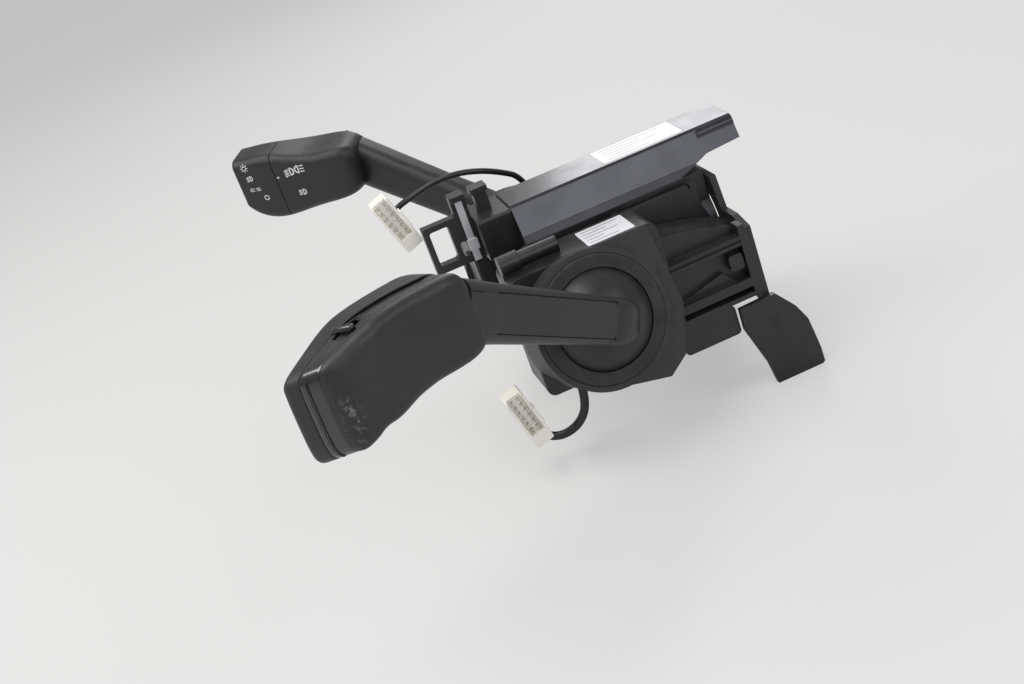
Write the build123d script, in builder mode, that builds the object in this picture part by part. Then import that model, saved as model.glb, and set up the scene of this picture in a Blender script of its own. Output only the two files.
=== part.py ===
"""Combination stalk switch: two switch modules with ball-pivoted stalks on a steering column carrier.

Millimetres. +X points to the right-hand stalk, +Y along the column towards the front of the car
(-Y towards the driver) and +Z up. The origin is the middle of the column bore, on the line between
the two collars. Right-hand pieces are drawn; left-hand ones are their mirror images where they match.
"""
import math
import os

from build123d import *

os.makedirs("parts", exist_ok=True)

# ---------------------------------------------------------------- driving dimensions
# fits
running_fit = 0.05            # radial play of a pin in its bearing
moving_gap = 0.4              # clearance between pieces that move past each other
seat_gap = 0.1                # clearance between pieces that are clipped together

# carrier on the column
column_bore_radius = 20.0
carrier_wall = 4.0
carrier_driver_end = -12.0    # Y of the end facing the driver
carrier_front_end = 74.0      # Y of the end facing the front of the car
side_plate_thickness = 2.5
side_plate_low = -24.0
side_plate_top = 24.5
carrier_web_thickness = 3.0
box_seat_height = 27.0        # Z of the pad that carries the control box

# control box above the column
box_driver_end = -12.0
box_front_end = 96.0
box_top = box_seat_height + 17.0
box_top_half_width = 13.0
box_foot_half_width = 20.0
box_parting_height = box_seat_height + 3.5
box_wall = 2.0
nose_start = 64.0             # Y where the underside begins to rise
nose_end = 79.0
nose_height = box_seat_height + 5.5   # Z of the underside at the raised nose
hood_radius = 3.0
hood_start = 78.0
board_thickness = 1.6
board_height = box_seat_height + 9.0   # Z of the underside of the board
board_post_radius = 2.0
socket_driver_end = -28.0
socket_half_width = 13.0
socket_bottom = box_seat_height - 3.0
socket_top = box_seat_height + 16.0
socket_wall = 2.0
socket_pin_size = 0.8
socket_pin_pitch = 3.0

# latch bracket towards the driver
latch_half_thickness = 2.5
latch_driver_end = -51.0
latch_bottom = box_seat_height - 3.5
latch_top = box_seat_height + 19.0
latch_bar = 2.6
post_width = 7.0
post_top = box_seat_height + 28.0
post_head = 2.5
clip_thickness = 0.8
clip_width = 3.2

# switch module housing
module_inner_face = 26.0      # X of the face against the carrier
module_outer_face = 50.0      # X of the face under the collar
module_driver_end = -30.0
module_front_end = 75.0
module_bottom = -31.0
module_top = 26.0
module_step = 38.0            # Y where the deep switch chamber ends and the rail part begins
rail_part_face = 44.0         # X of the recessed face between the rails
rail_part_bottom = -26.0
rail_part_top = 10.0
housing_wall = 2.2
back_cover_thickness = 2.0
upper_rail_height = 1.0
lower_rail_height = -19.2
rail_width = 4.0
rail_reach = 7.0
wiring_box_bottom = -40.0
wiring_box_front_end = 61.0
guide_pin_height = 30.4
guide_pin_x = 40.0
guide_pin_radius = 3.5
guide_pin_collar_radius = 4.4
guide_pin_length = 27.0
guide_pin_collar_length = 9.0

# collar, seal ring and dome
pivot = Vector(54.3, -1.3, -2.7)
dome_axis = Vector(0.962, 0.120, 0.2455).normalized()
dome_side = Vector(0, 0, 1).cross(dome_axis).normalized()
dome_radius = 25.0
dome_wall = 2.2
dome_half_angle = 81.5
ring_distance = 11.1          # ring plane in front of the pivot
ring_outer_radius = 28.0
ring_proud = 1.6
ring_seat_depth = 2.4
lip_radius = 30.5

# rocker and pivots
trunnion_radius = 2.5
rocker_half_width = 13.5
rocker_half_height = 13.0
rocker_half_depth = 5.0
rocker_bar = 4.0
bearing_arm_thickness = 5.0
pull_pin_radius = 2.0
block_half_width = 8.0
block_half_height = 8.0
stem_radius = 6.0
tail_radius = 3.2
tail_length = 14.0
plunger_radius = 2.0
plunger_reach = 19.0          # from the pivot to the plunger's tip
plunger_length = 9.0
cam_half_width = 5.5
cam_half_height = 9.0
spring_wire = 0.3
spring_pitch = 1.8
detent_step = 6.0             # degrees between two positions of the stalk
finger_offset = -10.5
finger_radius = 1.4
finger_reach = 18.5
carriage_width = 6.0
carriage_height = 9.0
bracket_base_face = 33.0      # X of the base plate's face inside the module
bracket_base_thickness = 3.0

# stalk arm
neck_height = 31.0            # from the pivot to the bend above the dome
neck_blend = 14.0             # straight part of the arm starts this far past the bend
arm_end = Vector(134.5, -57.4, 54.4)
arm_root_thickness = 16.0
arm_root_height = 19.4
arm_end_thickness = 16.5
arm_end_height = 22.6
arm_corner = 6.0
strip_width = 14.5
strip_depth = 1.4

# stalk head
head_dir = Vector(0.473, -0.880, 0.049).normalized()
head_back = Vector(0.875, 0.475, 0.087)
head_front_depth = 22.0       # front face below the arm's axis
heel_bulge = 9.0              # back face above the arm's axis at the heel
waist_depth = 1.5             # back face above the arm's axis at the waist
end_depth = 2.5
heel_start = -9.0
heel_station = 6.0
crown_station = 18.0
waist_station = 33.0
head_length = 72.0
bend_station = head_length - 27.0
taper_station = head_length - 12.0
head_top = 21.3
head_bottom = 13.5
end_top = 9.0
end_bottom = 24.0
head_corner = 5.0
head_wall = 2.2
head_parting = -12.0          # parting plane of the two shells, measured like head_front_depth
end_slant = 20.0
end_cap_thickness = 3.4
end_cap_rounding = 2.8
channel_depth = 1.2
left_head_drop = 3.0
left_head_length = 34.0
left_crown_top = 15.8
knob_length = 23.0
knob_top = 21.0
knob_rounding = 2.2
knob_spindle_radius = 6.0
spindle_seat = 6.0            # depth of the spindle inside the knob
bulkhead_thickness = 3.0
spindle_tail = 3.0            # spindle behind the bulkhead
spindle_flange = 1.6
head_board_level = -17.0      # underside of the board in the head, measured like head_front_depth
head_board_length = 40.0
head_board_width = 15.0
head_board_middle = 34.0
left_board_length = 14.0
left_board_middle = left_head_length - 14.0

# slider on the right-hand head
slider_travel = 7.0
slider_length = 9.0
slider_width = 12.0
slider_slope = -20.0
slider_station = head_length - 22.5
slider_offset = -8.5
slider_slot_depth = 3.4
slider_rib_radius = 1.3
slider_rib_skew = 20.0
slider_proud = 0.6
tray_floor = 1.4

# front bracket and its legs
end_plate_thickness = 3.0
end_plate_clearance = 2.0
end_plate_top = 24.0
end_plate_shoulder = 9.0
leg_inner_face = 50.0
leg_thickness = 3.0
leg_bottom = -69.5
leg_slit_length = 12.0
tongue_height = -44.0
tongue_thickness = 2.0
screw_radius = 1.5
screw_head_radius = 3.3
screw_head_height = 1.5
screw_x = 35.0
screw_heights = (0.0, -22.0)

# leads
lead_diameter = 2.8
harness_diameter = 4.0
plug_length = 26.0
plug_height = 9.0
plug_depth = 12.0
plug_pitch = 3.2
plug_pin_size = 1.0
plug_pocket = 3.5
lower_plug_face = Vector(50.0, -41.8, -37.3)
lower_plug_length = Vector(0.0, 0.26, -0.966)
upper_plug_face = Vector(-9.0, -58.8, 48.8)
upper_plug_length = Vector(0.0, 0.33, -0.944)
lower_route = [
    (43, -14, -31), (43, -14, -43), (40, -20, -54), (36, -31, -58),
    (32, -40, -51), (32, -42, -41), (38, -41, -36),
]
upper_route = [
    (-21, -59, 49), (-30, -56, 50), (-32, -45, 52), (-31, -34, 54.5), (-30, -23, 54.5),
    (-31, -12, 51), (-35, -2, 45), (-39, 7, 38), (-40, 10, 26),
]

# ---------------------------------------------------------------- shared planes
dome_plane = Plane(origin=pivot, x_dir=dome_side, z_dir=dome_axis)
ring_plane = dome_plane.offset(ring_distance)
neck_end = pivot + dome_axis * neck_height
arm_dir = (arm_end - neck_end).normalized()
arm_face = (head_back - arm_dir * head_back.dot(arm_dir)).normalized()
pivot_plane = Plane(origin=pivot, x_dir=(0, 1, 0), z_dir=(1, 0, 0))   # local x = Y, local y = Z


def head_plane(station, drop=0.0):
    """Plane square to the head at a distance from the arm's end; x towards the back, y up."""
    frame = Plane(origin=arm_end, x_dir=head_back, z_dir=head_dir)
    return Plane(origin=frame.from_local_coords((0, -drop, station)), x_dir=head_back, z_dir=head_dir)


def save(piece, name):
    """Label a piece and write it."""
    piece.part.label = name
    export_step(piece.part, f"parts/{name}.step")


def save_mirrored(piece, name):
    """Write the left-hand mirror image of a right-hand piece."""
    with BuildPart() as twin:
        mirror(piece.part, about=Plane.YZ)
    save(twin, name)


def save_pair(piece, name):
    """Write a right-hand piece and its left-hand twin."""
    save(piece, f"right_{name}")
    save_mirrored(piece, f"left_{name}")


# ---------------------------------------------------------------- carrier
carrier_radius = column_bore_radius + carrier_wall
carrier_length = carrier_front_end - carrier_driver_end
carrier_side_face = module_inner_face - back_cover_thickness
with BuildPart() as carrier_frame:
    with BuildSketch(Plane.XZ.offset(-carrier_front_end)):
        Circle(carrier_radius)
        with Locations((0, box_seat_height / 2)):
            Rectangle(2 * column_bore_radius, box_seat_height)
    extrude(amount=carrier_length)
    with BuildSketch(Plane.YZ.offset(-carrier_side_face)):
        with BuildLine():
            Polyline(
                (carrier_driver_end, side_plate_low),
                (carrier_driver_end, side_plate_top),
                (nose_start, side_plate_top),
                (nose_start + 6, 8),
                (carrier_front_end, -3),
                (carrier_front_end, side_plate_low),
                close=True,
            )
        make_face()
    extrude(amount=side_plate_thickness)
    mirror(about=Plane.YZ)
    with BuildSketch(*[Plane.XZ.offset(-y) for y in (0, carrier_length / 2 - 12, carrier_front_end - 6)]):
        with Locations((0, (side_plate_low + side_plate_top) / 2)):
            Rectangle(2 * carrier_side_face, side_plate_top - side_plate_low)
    extrude(amount=carrier_web_thickness)
    with BuildSketch(Plane.XZ.offset(-carrier_front_end)):
        Circle(column_bore_radius)
    extrude(amount=carrier_length, mode=Mode.SUBTRACT)
save(carrier_frame, "carrier_frame")

# ---------------------------------------------------------------- control box
box_mid_y = (box_driver_end + box_front_end) / 2


def box_solid(inset):
    """Solid of the control box, drawn in by an inset on every side."""
    with BuildPart() as solid:
        with BuildSketch(Plane.XZ.offset(-box_front_end + inset)):
            with BuildLine():
                Polyline(
                    (-box_foot_half_width + inset, box_seat_height + inset),
                    (-box_top_half_width + inset, box_top - inset),
                    (box_top_half_width - inset, box_top - inset),
                    (box_foot_half_width - inset, box_seat_height + inset),
                    close=True,
                )
            make_face()
        extrude(amount=box_front_end - box_driver_end - 2 * inset)
        with BuildSketch(Plane.YZ.offset(-box_foot_half_width)):
            with BuildLine():
                Polyline(
                    (nose_start, box_seat_height - 1),
                    (nose_start, box_seat_height + inset),
                    (nose_end, nose_height + inset),
                    (box_front_end + 1, nose_height + inset + 1),
                    (box_front_end + 1, box_seat_height - 1),
                    close=True,
                )
            make_face()
        extrude(amount=2 * box_foot_half_width, mode=Mode.SUBTRACT)
    return solid.part


box_outer = box_solid(0)
box_cavity = box_solid(box_wall)

with BuildPart() as control_box_cover:
    add(box_outer)
    chamfer(control_box_cover.faces().sort_by(Axis.Z)[-1].edges().filter_by(Axis.Y), 1.0)
    with BuildSketch(Plane.XZ.offset(-box_front_end)):
        with Locations((box_top_half_width - 1, box_top - hood_radius - 0.4)):
            Circle(hood_radius)
    extrude(amount=box_front_end - hood_start)
    add(box_cavity, mode=Mode.SUBTRACT)
    split(bisect_by=Plane.XY.offset(box_parting_height), keep=Keep.TOP)
save(control_box_cover, "control_box_cover")

with BuildPart() as control_box_base:
    add(box_outer)
    add(box_cavity, mode=Mode.SUBTRACT)
    split(bisect_by=Plane.XY.offset(box_parting_height), keep=Keep.BOTTOM)
    with BuildSketch(Plane.XY.offset(box_seat_height + box_wall / 2)):
        with Locations((0, nose_start / 2)):
            with GridLocations(18, 50, 2, 2):
                Circle(board_post_radius)
    extrude(amount=board_height - box_seat_height - box_wall / 2)
save(control_box_base, "control_box_base")

with BuildPart() as control_board:
    with BuildSketch(Plane.XY.offset(board_height)):
        with Locations((0, box_mid_y)):
            Rectangle(2 * box_top_half_width, box_front_end - box_driver_end - 2 * (box_wall + seat_gap))
    extrude(amount=board_thickness)
    with BuildSketch(Plane.XY.offset(board_height + board_thickness)):
        with Locations((0, box_mid_y)):
            with GridLocations(12, 22, 2, 3):
                Rectangle(6, 9)
    extrude(amount=2)
save(control_board, "control_board")

socket_length = box_driver_end - socket_driver_end
socket_middle = (socket_top + socket_bottom) / 2
with BuildPart() as socket_shroud:
    with BuildSketch(Plane.XZ.offset(-box_driver_end)):
        with Locations((0, socket_middle)):
            RectangleRounded(2 * socket_half_width, socket_top - socket_bottom, 1.5)
    extrude(amount=socket_length)
    with BuildSketch(Plane.XZ.offset(-box_driver_end - socket_wall + socket_length)):
        with Locations((0, socket_middle)):
            Rectangle(2 * (socket_half_width - socket_wall), socket_top - socket_bottom - 2 * socket_wall)
    extrude(amount=-socket_length + 2 * socket_wall, mode=Mode.SUBTRACT)
    with BuildSketch(Plane.XY.offset(socket_top)):
        with Locations((0, socket_driver_end + post_width)):
            Rectangle(2 * latch_half_thickness, post_width - 1)
    extrude(amount=post_top - socket_top)
    with BuildSketch(Plane.XY.offset(post_top - post_head)):
        with Locations((0, socket_driver_end + post_width)):
            RectangleRounded(3.4 * latch_half_thickness, post_width + 1, 1)
    extrude(amount=post_head)
save(socket_shroud, "socket_shroud")

with BuildPart() as socket_pins:
    with BuildSketch(Plane.XZ.offset(-box_driver_end + socket_wall)):
        with Locations((0, socket_middle)):
            with GridLocations(socket_pin_pitch, 2 * socket_pin_pitch, 6, 2):
                Rectangle(socket_pin_size, socket_pin_size)
    extrude(amount=socket_length - 3 * socket_wall)
save(socket_pins, "socket_pins")

# ---------------------------------------------------------------- latch bracket and clip
with BuildPart() as latch_bracket:
    with BuildSketch(Plane.YZ.offset(-latch_half_thickness)):
        with BuildLine():
            Polyline(
                (latch_driver_end, latch_bottom),
                (latch_driver_end, latch_top),
                (socket_driver_end - post_width, latch_top),
                (socket_driver_end - post_width, post_top),
                (socket_driver_end - seat_gap, post_top),
                (socket_driver_end - seat_gap, latch_bottom),
                close=True,
            )
        make_face()
        window_low = latch_bottom + latch_bar + 1
        window_high = latch_top - latch_bar
        with Locations((latch_driver_end + latch_bar + 4.5, (window_low + window_high) / 2)):
            RectangleRounded(9, window_high - window_low, 1.2, mode=Mode.SUBTRACT)
        with Locations((socket_driver_end - post_width - 0.6, latch_bottom + 7)):
            SlotCenterToCenter(4, 3, rotation=90, mode=Mode.SUBTRACT)
    extrude(amount=2 * latch_half_thickness)
    with BuildSketch(Plane.XY.offset(post_top - post_head)):
        with Locations((0, socket_driver_end - post_width / 2)):
            RectangleRounded(3.4 * latch_half_thickness, post_width - 2 * seat_gap, 1)
    extrude(amount=post_head)
save(latch_bracket, "latch_bracket")

with BuildPart() as spring_clip:
    with BuildSketch(Plane.YZ.offset(latch_half_thickness)):
        with Locations((socket_driver_end - post_width / 2, (latch_bottom + post_top - post_head) / 2)):
            Rectangle(clip_width, post_top - post_head - latch_bottom)
    extrude(amount=clip_thickness)
    with BuildSketch(Plane.YZ.offset(latch_half_thickness)):
        with Locations((socket_driver_end - post_width / 2, latch_bottom + 8)):
            Rectangle(clip_width + 1.6, 5)
    extrude(amount=2.4 * clip_thickness)
save(spring_clip, "spring_clip")

# ---------------------------------------------------------------- switch module housing
chamber_length = module_step - module_driver_end
chamber_height = module_top - module_bottom
chamber_mid = ((module_step + module_driver_end) / 2, (module_top + module_bottom) / 2)
rail_part_middle = ((module_step + module_front_end) / 2, (rail_part_top + rail_part_bottom) / 2)
wiring_box_middle = ((module_step + wiring_box_front_end) / 2 - 2, (rail_part_bottom + wiring_box_bottom) / 2)
module_depth = module_outer_face - module_inner_face
inner_plane = Plane.YZ.offset(module_inner_face)
dome_clear_radius = dome_radius + moving_gap
profile_plane = Plane(origin=pivot, x_dir=dome_side, z_dir=dome_side.cross(dome_axis))
with BuildPart() as switch_housing:
    with BuildSketch(inner_plane):
        with Locations(chamber_mid):
            RectangleRounded(chamber_length, chamber_height, 4)
    extrude(amount=module_depth)
    with BuildSketch(inner_plane):
        with BuildLine():
            outline = Polyline(
                (module_step - 5, rail_part_bottom),
                (module_front_end, rail_part_bottom),
                (module_front_end, upper_rail_height + 4),
            )
            shoulder = (module_step - 5, rail_part_top + 5)
            ThreePointArc(outline @ 1, (rail_part_middle[0] + 2, rail_part_top + 1), shoulder)
            Line(shoulder, outline @ 0)
        make_face()
    extrude(amount=rail_part_face - module_inner_face)
    with BuildSketch(inner_plane):
        with Locations(wiring_box_middle):
            RectangleRounded(wiring_box_front_end - module_step + 4, rail_part_bottom - wiring_box_bottom, 2)
    extrude(amount=module_depth)
    with BuildSketch(Plane.YZ.offset(rail_part_face - 1)):
        for height in (upper_rail_height, lower_rail_height):
            with Locations((rail_part_middle[0] - 2, height)):
                Rectangle(module_front_end - module_step + 4, rail_width)
        with Locations((rail_part_middle[0] - 2, rail_part_bottom + 1)):
            Rectangle(module_front_end - module_step + 4, 2)
        with Locations((module_front_end - 1.5, (rail_part_bottom + rail_part_top) / 2 - 1)):
            Rectangle(3, rail_part_top - rail_part_bottom - 2)
    extrude(amount=rail_reach)
    with BuildSketch(Plane.YZ.offset(rail_part_face + rail_reach - 2.2)):
        with Locations((rail_part_middle[0] - 2, upper_rail_height)):
            Rectangle(module_front_end - module_step - 2, rail_width / 3)
    extrude(amount=3, mode=Mode.SUBTRACT)
    with BuildSketch(Plane.YZ.offset(rail_part_face - 1)):
        with BuildLine():
            low = lower_rail_height + rail_width / 2
            wedge_end = module_front_end - 9
            Polyline((module_step, low), (wedge_end, low), (wedge_end - 5, low + 6), close=True)
        make_face()
    extrude(amount=rail_reach / 2)
    with BuildSketch(Plane.YZ.offset(rail_part_face - 1)):
        with Locations((module_front_end - 7, (upper_rail_height + lower_rail_height) / 2 + 1)):
            RectangleRounded(6.5, 7.5, 1.5)
    extrude(amount=rail_reach - 1)
    with BuildSketch(inner_plane):
        with Locations(chamber_mid):
            Rectangle(chamber_length - 2 * housing_wall, chamber_height - 2 * housing_wall)
    extrude(amount=module_depth - housing_wall, mode=Mode.SUBTRACT)
    with BuildSketch(inner_plane):
        with Locations((rail_part_middle[0] - 1, rail_part_middle[1] - 4)):
            Rectangle(module_front_end - module_step - 8, rail_part_top - rail_part_bottom - 16)
    extrude(amount=rail_part_face - 2 * housing_wall - module_inner_face, mode=Mode.SUBTRACT)
    with Locations(pivot):
        Sphere(dome_clear_radius, mode=Mode.SUBTRACT)
    with BuildSketch(Plane.XZ.offset(-module_driver_end - guide_pin_length)):
        with Locations((guide_pin_x, guide_pin_height)):
            Circle(guide_pin_radius)
        with Locations((guide_pin_x, (guide_pin_height + module_top) / 2 - 1)):
            Rectangle(guide_pin_radius, guide_pin_height - module_top + 2)
    extrude(amount=guide_pin_length)
    with BuildSketch(Plane.XZ.offset(-module_driver_end - guide_pin_collar_length)):
        with Locations((guide_pin_x, guide_pin_height)):
            Circle(guide_pin_collar_radius)
    extrude(amount=guide_pin_collar_length)
save_pair(switch_housing, "switch_housing")

with BuildPart() as back_cover:
    with BuildSketch(Plane.YZ.offset(carrier_side_face)):
        with Locations(chamber_mid):
            RectangleRounded(chamber_length - 1, chamber_height - 1, 4)
    extrude(amount=back_cover_thickness)
save_pair(back_cover, "back_cover")

# ---------------------------------------------------------------- collar and seal ring
ring_height = ring_seat_depth + ring_proud
ring_seat_radius = ring_outer_radius + seat_gap
with BuildPart() as collar:
    with BuildSketch(ring_plane.offset(-ring_seat_depth)):
        Circle(lip_radius)
        with BuildLine():
            Polyline((-4, 30), (35, 28), (37, -9), (29, -30), (19, -36), (-4, -30), close=True)
        make_face()
    extrude(amount=-30)
    with BuildSketch(ring_plane.offset(-ring_seat_depth)):
        Circle(lip_radius)
    extrude(amount=ring_seat_depth + ring_proud / 2)
    split(bisect_by=Plane.YZ.offset(module_outer_face), keep=Keep.TOP)
    with BuildSketch(profile_plane):
        with Locations((ring_seat_radius / 2, ring_distance - ring_seat_depth + ring_height / 2)):
            Rectangle(ring_seat_radius, ring_height)
        Circle(dome_clear_radius)
        with Locations((-dome_radius, 0)):
            Rectangle(2 * dome_radius, 4 * dome_radius, mode=Mode.SUBTRACT)
    revolve(axis=Axis(pivot, dome_axis), mode=Mode.SUBTRACT)
save_pair(collar, "collar")

with BuildPart() as seal_ring:
    with BuildSketch(profile_plane) as ring_profile:
        with Locations((ring_outer_radius / 2, ring_distance - ring_seat_depth + ring_height / 2)):
            Rectangle(ring_outer_radius, ring_height)
        Circle(dome_clear_radius, mode=Mode.SUBTRACT)
        fillet(ring_profile.vertices().group_by(Axis(pivot, dome_axis))[-1], 0.9)
    revolve(axis=Axis(pivot, dome_axis))
save_pair(seal_ring, "seal_ring")

# ---------------------------------------------------------------- pivot bracket, board, cam and carriage
bearing_arm_inner = rocker_half_width + 1.0
bearing_reach = pivot.X + rocker_half_depth
trunnion_length = bearing_arm_inner + bearing_arm_thickness - 0.5
with BuildPart() as pivot_bracket:
    with BuildSketch(Plane.YZ.offset(bracket_base_face - bracket_base_thickness)):
        with Locations((pivot.Y, pivot.Z)):
            RectangleRounded(2 * (bearing_arm_inner + bearing_arm_thickness), 34, 2)
    extrude(amount=bracket_base_thickness)
    with BuildSketch(Plane.YZ.offset(module_inner_face)):
        with Locations((pivot.Y, pivot.Z)):
            with GridLocations(2 * bearing_arm_inner, 28, 2, 2):
                Circle(2.4)
    extrude(amount=bracket_base_face - bracket_base_thickness - module_inner_face)
    with BuildSketch(Plane.YZ.offset(bracket_base_face)):
        with Locations((pivot.Y, pivot.Z)):
            with GridLocations(2 * bearing_arm_inner + bearing_arm_thickness, 0, 2, 1):
                Rectangle(bearing_arm_thickness, 2 * rocker_half_depth)
    extrude(amount=bearing_reach - bracket_base_face)
    with BuildSketch(Plane.XZ.offset(-pivot.Y)):
        with Locations((pivot.X, pivot.Z)):
            Circle(trunnion_radius + running_fit)
    extrude(amount=30, both=True, mode=Mode.SUBTRACT)
save_pair(pivot_bracket, "pivot_bracket")

with BuildPart() as detent_cam:
    with BuildSketch(Plane.YZ.offset(bracket_base_face)):
        with Locations((pivot.Y, pivot.Z)):
            Rectangle(2 * cam_half_width, 2 * cam_half_height)
    extrude(amount=pivot.X - plunger_reach + 2 - bracket_base_face)
    with Locations(pivot):
        Sphere(plunger_reach + moving_gap, mode=Mode.SUBTRACT)
    with BuildSketch(Plane.XZ.offset(-pivot.Y)):
        with Locations((pivot.X, pivot.Z)):
            for step in (-1, 0, 1, 2):
                with Locations(Location((0, 0), 180 + step * detent_step)):
                    with Locations((plunger_reach + moving_gap, 0)):
                        Circle(0.7)
    extrude(amount=cam_half_width, both=True, mode=Mode.SUBTRACT)
save_pair(detent_cam, "detent_cam")

carriage_y = pivot.Y + finger_offset
with BuildPart() as contact_board:
    with BuildSketch(Plane.YZ.offset(bracket_base_face)):
        with Locations((carriage_y, pivot.Z)):
            Rectangle(carriage_width, 28)
    extrude(amount=board_thickness)
save_pair(contact_board, "contact_board")

carriage_floor = bracket_base_face + board_thickness + 0.3
with BuildPart() as contact_carriage:
    with BuildSketch(Plane.YZ.offset(carriage_floor)):
        with Locations((carriage_y, pivot.Z)):
            Rectangle(carriage_width, carriage_height)
    extrude(amount=4.4)
    with BuildSketch(Plane.YZ.offset(pivot.X - finger_reach - moving_gap)):
        with Locations((carriage_y, pivot.Z)):
            Rectangle(carriage_width, 2 * (finger_radius + 2 * moving_gap))
    extrude(amount=5, mode=Mode.SUBTRACT)
save_pair(contact_carriage, "contact_carriage")

# ---------------------------------------------------------------- rocker, pull pin and pivot block
with BuildPart() as rocker:
    with BuildSketch(pivot_plane):
        RectangleRounded(2 * rocker_half_width, 2 * rocker_half_height, 2)
    extrude(amount=rocker_half_depth, both=True)
    with BuildSketch(Plane.XZ.offset(-pivot.Y)):
        with Locations((pivot.X, pivot.Z)):
            Circle(trunnion_radius)
    extrude(amount=trunnion_length, both=True)
    with BuildSketch(pivot_plane.offset(-finger_reach)):
        with Locations((finger_offset, 0)):
            Circle(finger_radius)
    extrude(amount=finger_reach)
    with BuildSketch(pivot_plane):
        Rectangle(2 * (rocker_half_width - rocker_bar), 2 * (rocker_half_height - rocker_bar))
    extrude(amount=rocker_half_depth, both=True, mode=Mode.SUBTRACT)
    with BuildSketch(Plane.XY.offset(pivot.Z)):
        with Locations((pivot.X, pivot.Y)):
            Circle(pull_pin_radius)
    extrude(amount=rocker_half_height, both=True, mode=Mode.SUBTRACT)
save_pair(rocker, "rocker")

with BuildPart() as pull_pin:
    with BuildSketch(Plane.XY.offset(pivot.Z)):
        with Locations((pivot.X, pivot.Y)):
            Circle(pull_pin_radius)
    extrude(amount=rocker_half_height, both=True)
    chamfer(pull_pin.edges().filter_by(GeomType.CIRCLE), 0.4)
save_pair(pull_pin, "pull_pin")

with BuildPart() as pivot_block:
    with BuildSketch(pivot_plane.offset(-rocker_half_depth)):
        RectangleRounded(2 * block_half_width, 2 * block_half_height, 1.5)
    extrude(amount=2 * rocker_half_depth - 1)
    with BuildSketch(dome_plane):
        Circle(stem_radius)
    extrude(amount=dome_radius)
    with BuildSketch(pivot_plane.offset(-tail_length)):
        Circle(tail_radius)
    extrude(amount=tail_length)
    with Locations(pivot):
        Sphere(dome_radius - dome_wall, mode=Mode.INTERSECT)
    with BuildSketch(pivot_plane.offset(-tail_length)):
        Circle(plunger_radius + running_fit)
    extrude(amount=tail_length - rocker_half_depth, mode=Mode.SUBTRACT)
    with BuildSketch(Plane.XY.offset(pivot.Z)):
        with Locations((pivot.X, pivot.Y)):
            Circle(pull_pin_radius + running_fit)
    extrude(amount=block_half_height, both=True, mode=Mode.SUBTRACT)
save_pair(pivot_block, "pivot_block")

plunger_back = plunger_reach - plunger_length
with BuildPart() as detent_plunger:
    with BuildSketch(pivot_plane.offset(-plunger_reach)):
        Circle(plunger_radius)
    extrude(amount=plunger_length)
    fillet(detent_plunger.faces().sort_by(Axis.X)[0].edges(), plunger_radius - 0.2)
save_pair(detent_plunger, "detent_plunger")

spring_length = plunger_back - rocker_half_depth
with BuildPart() as detent_spring:
    with BuildLine() as coil:
        Helix(
            pitch=spring_pitch,
            height=spring_length - 2 * spring_wire,
            radius=plunger_radius - 2 * spring_wire,
            center=pivot - Vector(plunger_back - spring_wire, 0, 0),
            direction=(1, 0, 0),
        )
    with BuildSketch(Plane(origin=coil.line @ 0, z_dir=coil.line % 0)):
        RegularPolygon(spring_wire, 6)
    sweep()
save_pair(detent_spring, "detent_spring")

# ---------------------------------------------------------------- dome and arm
def arm_section(origin, normal, thickness, height, corner):
    """Rounded section of the arm on a plane."""
    with BuildSketch(Plane(origin=origin, x_dir=arm_face, z_dir=normal)) as section:
        RectangleRounded(thickness, height, corner)
    return section.sketch


def arm_solid(inset, root_distance, tip_distance):
    """Curved neck and straight arm up to the head, drawn in by an inset."""
    bend = (dome_axis + arm_dir).normalized()
    root = (arm_root_thickness - 2 * inset, arm_root_height - 2 * inset, arm_corner - inset)
    end = (arm_end_thickness - 2 * inset, arm_end_height - 2 * inset, arm_corner - inset)
    with BuildPart() as solid:
        add(arm_section(pivot + dome_axis * root_distance, dome_axis, root[0] + 2, root[1], root[2]))
        add(arm_section(neck_end, bend, *root))
        add(arm_section(neck_end + arm_dir * neck_blend, arm_dir, *root))
        loft()
        add(arm_section(neck_end + arm_dir * neck_blend, arm_dir, *root))
        add(arm_section(arm_end + arm_dir * tip_distance, arm_dir, *end))
        loft(ruled=True)
    return solid.part


arm_outer = arm_solid(0, dome_radius - dome_wall / 2, 6)
arm_bore = arm_solid(2.6, neck_height - 4, 7)
arm_length = (arm_end - neck_end).length
strip_length = arm_length - neck_blend - 6
strip_middle = neck_end + arm_dir * (neck_blend + strip_length / 2 + 1)
strip_plane = Plane(origin=strip_middle + arm_face * arm_root_thickness / 2, x_dir=arm_dir, z_dir=arm_face)
with BuildPart() as stalk_arm:
    with BuildSketch(profile_plane):
        Circle(dome_radius)
        Circle(dome_radius - dome_wall, mode=Mode.SUBTRACT)
        with BuildLine():
            reach = 2 * dome_radius
            rim = Vector(0, reach).rotate(Axis.Z, -dome_half_angle)
            Polyline((0, 0), (0, reach), (reach, reach), (rim.X, rim.Y), close=True)
        make_face(mode=Mode.INTERSECT)
    revolve(axis=Axis(pivot, dome_axis))
    add(arm_outer)
    add(arm_bore, mode=Mode.SUBTRACT)
    with BuildSketch(strip_plane.offset(-strip_depth)):
        Rectangle(strip_length, strip_width)
    extrude(amount=strip_depth + 2, mode=Mode.SUBTRACT)
save_pair(stalk_arm, "stalk_arm")

with BuildPart() as arm_strip:
    with BuildSketch(strip_plane.offset(-strip_depth)):
        RectangleRounded(strip_length - 2 * seat_gap, strip_width - 2 * seat_gap, 1)
    extrude(amount=strip_depth)
save_pair(arm_strip, "arm_strip")

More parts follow.
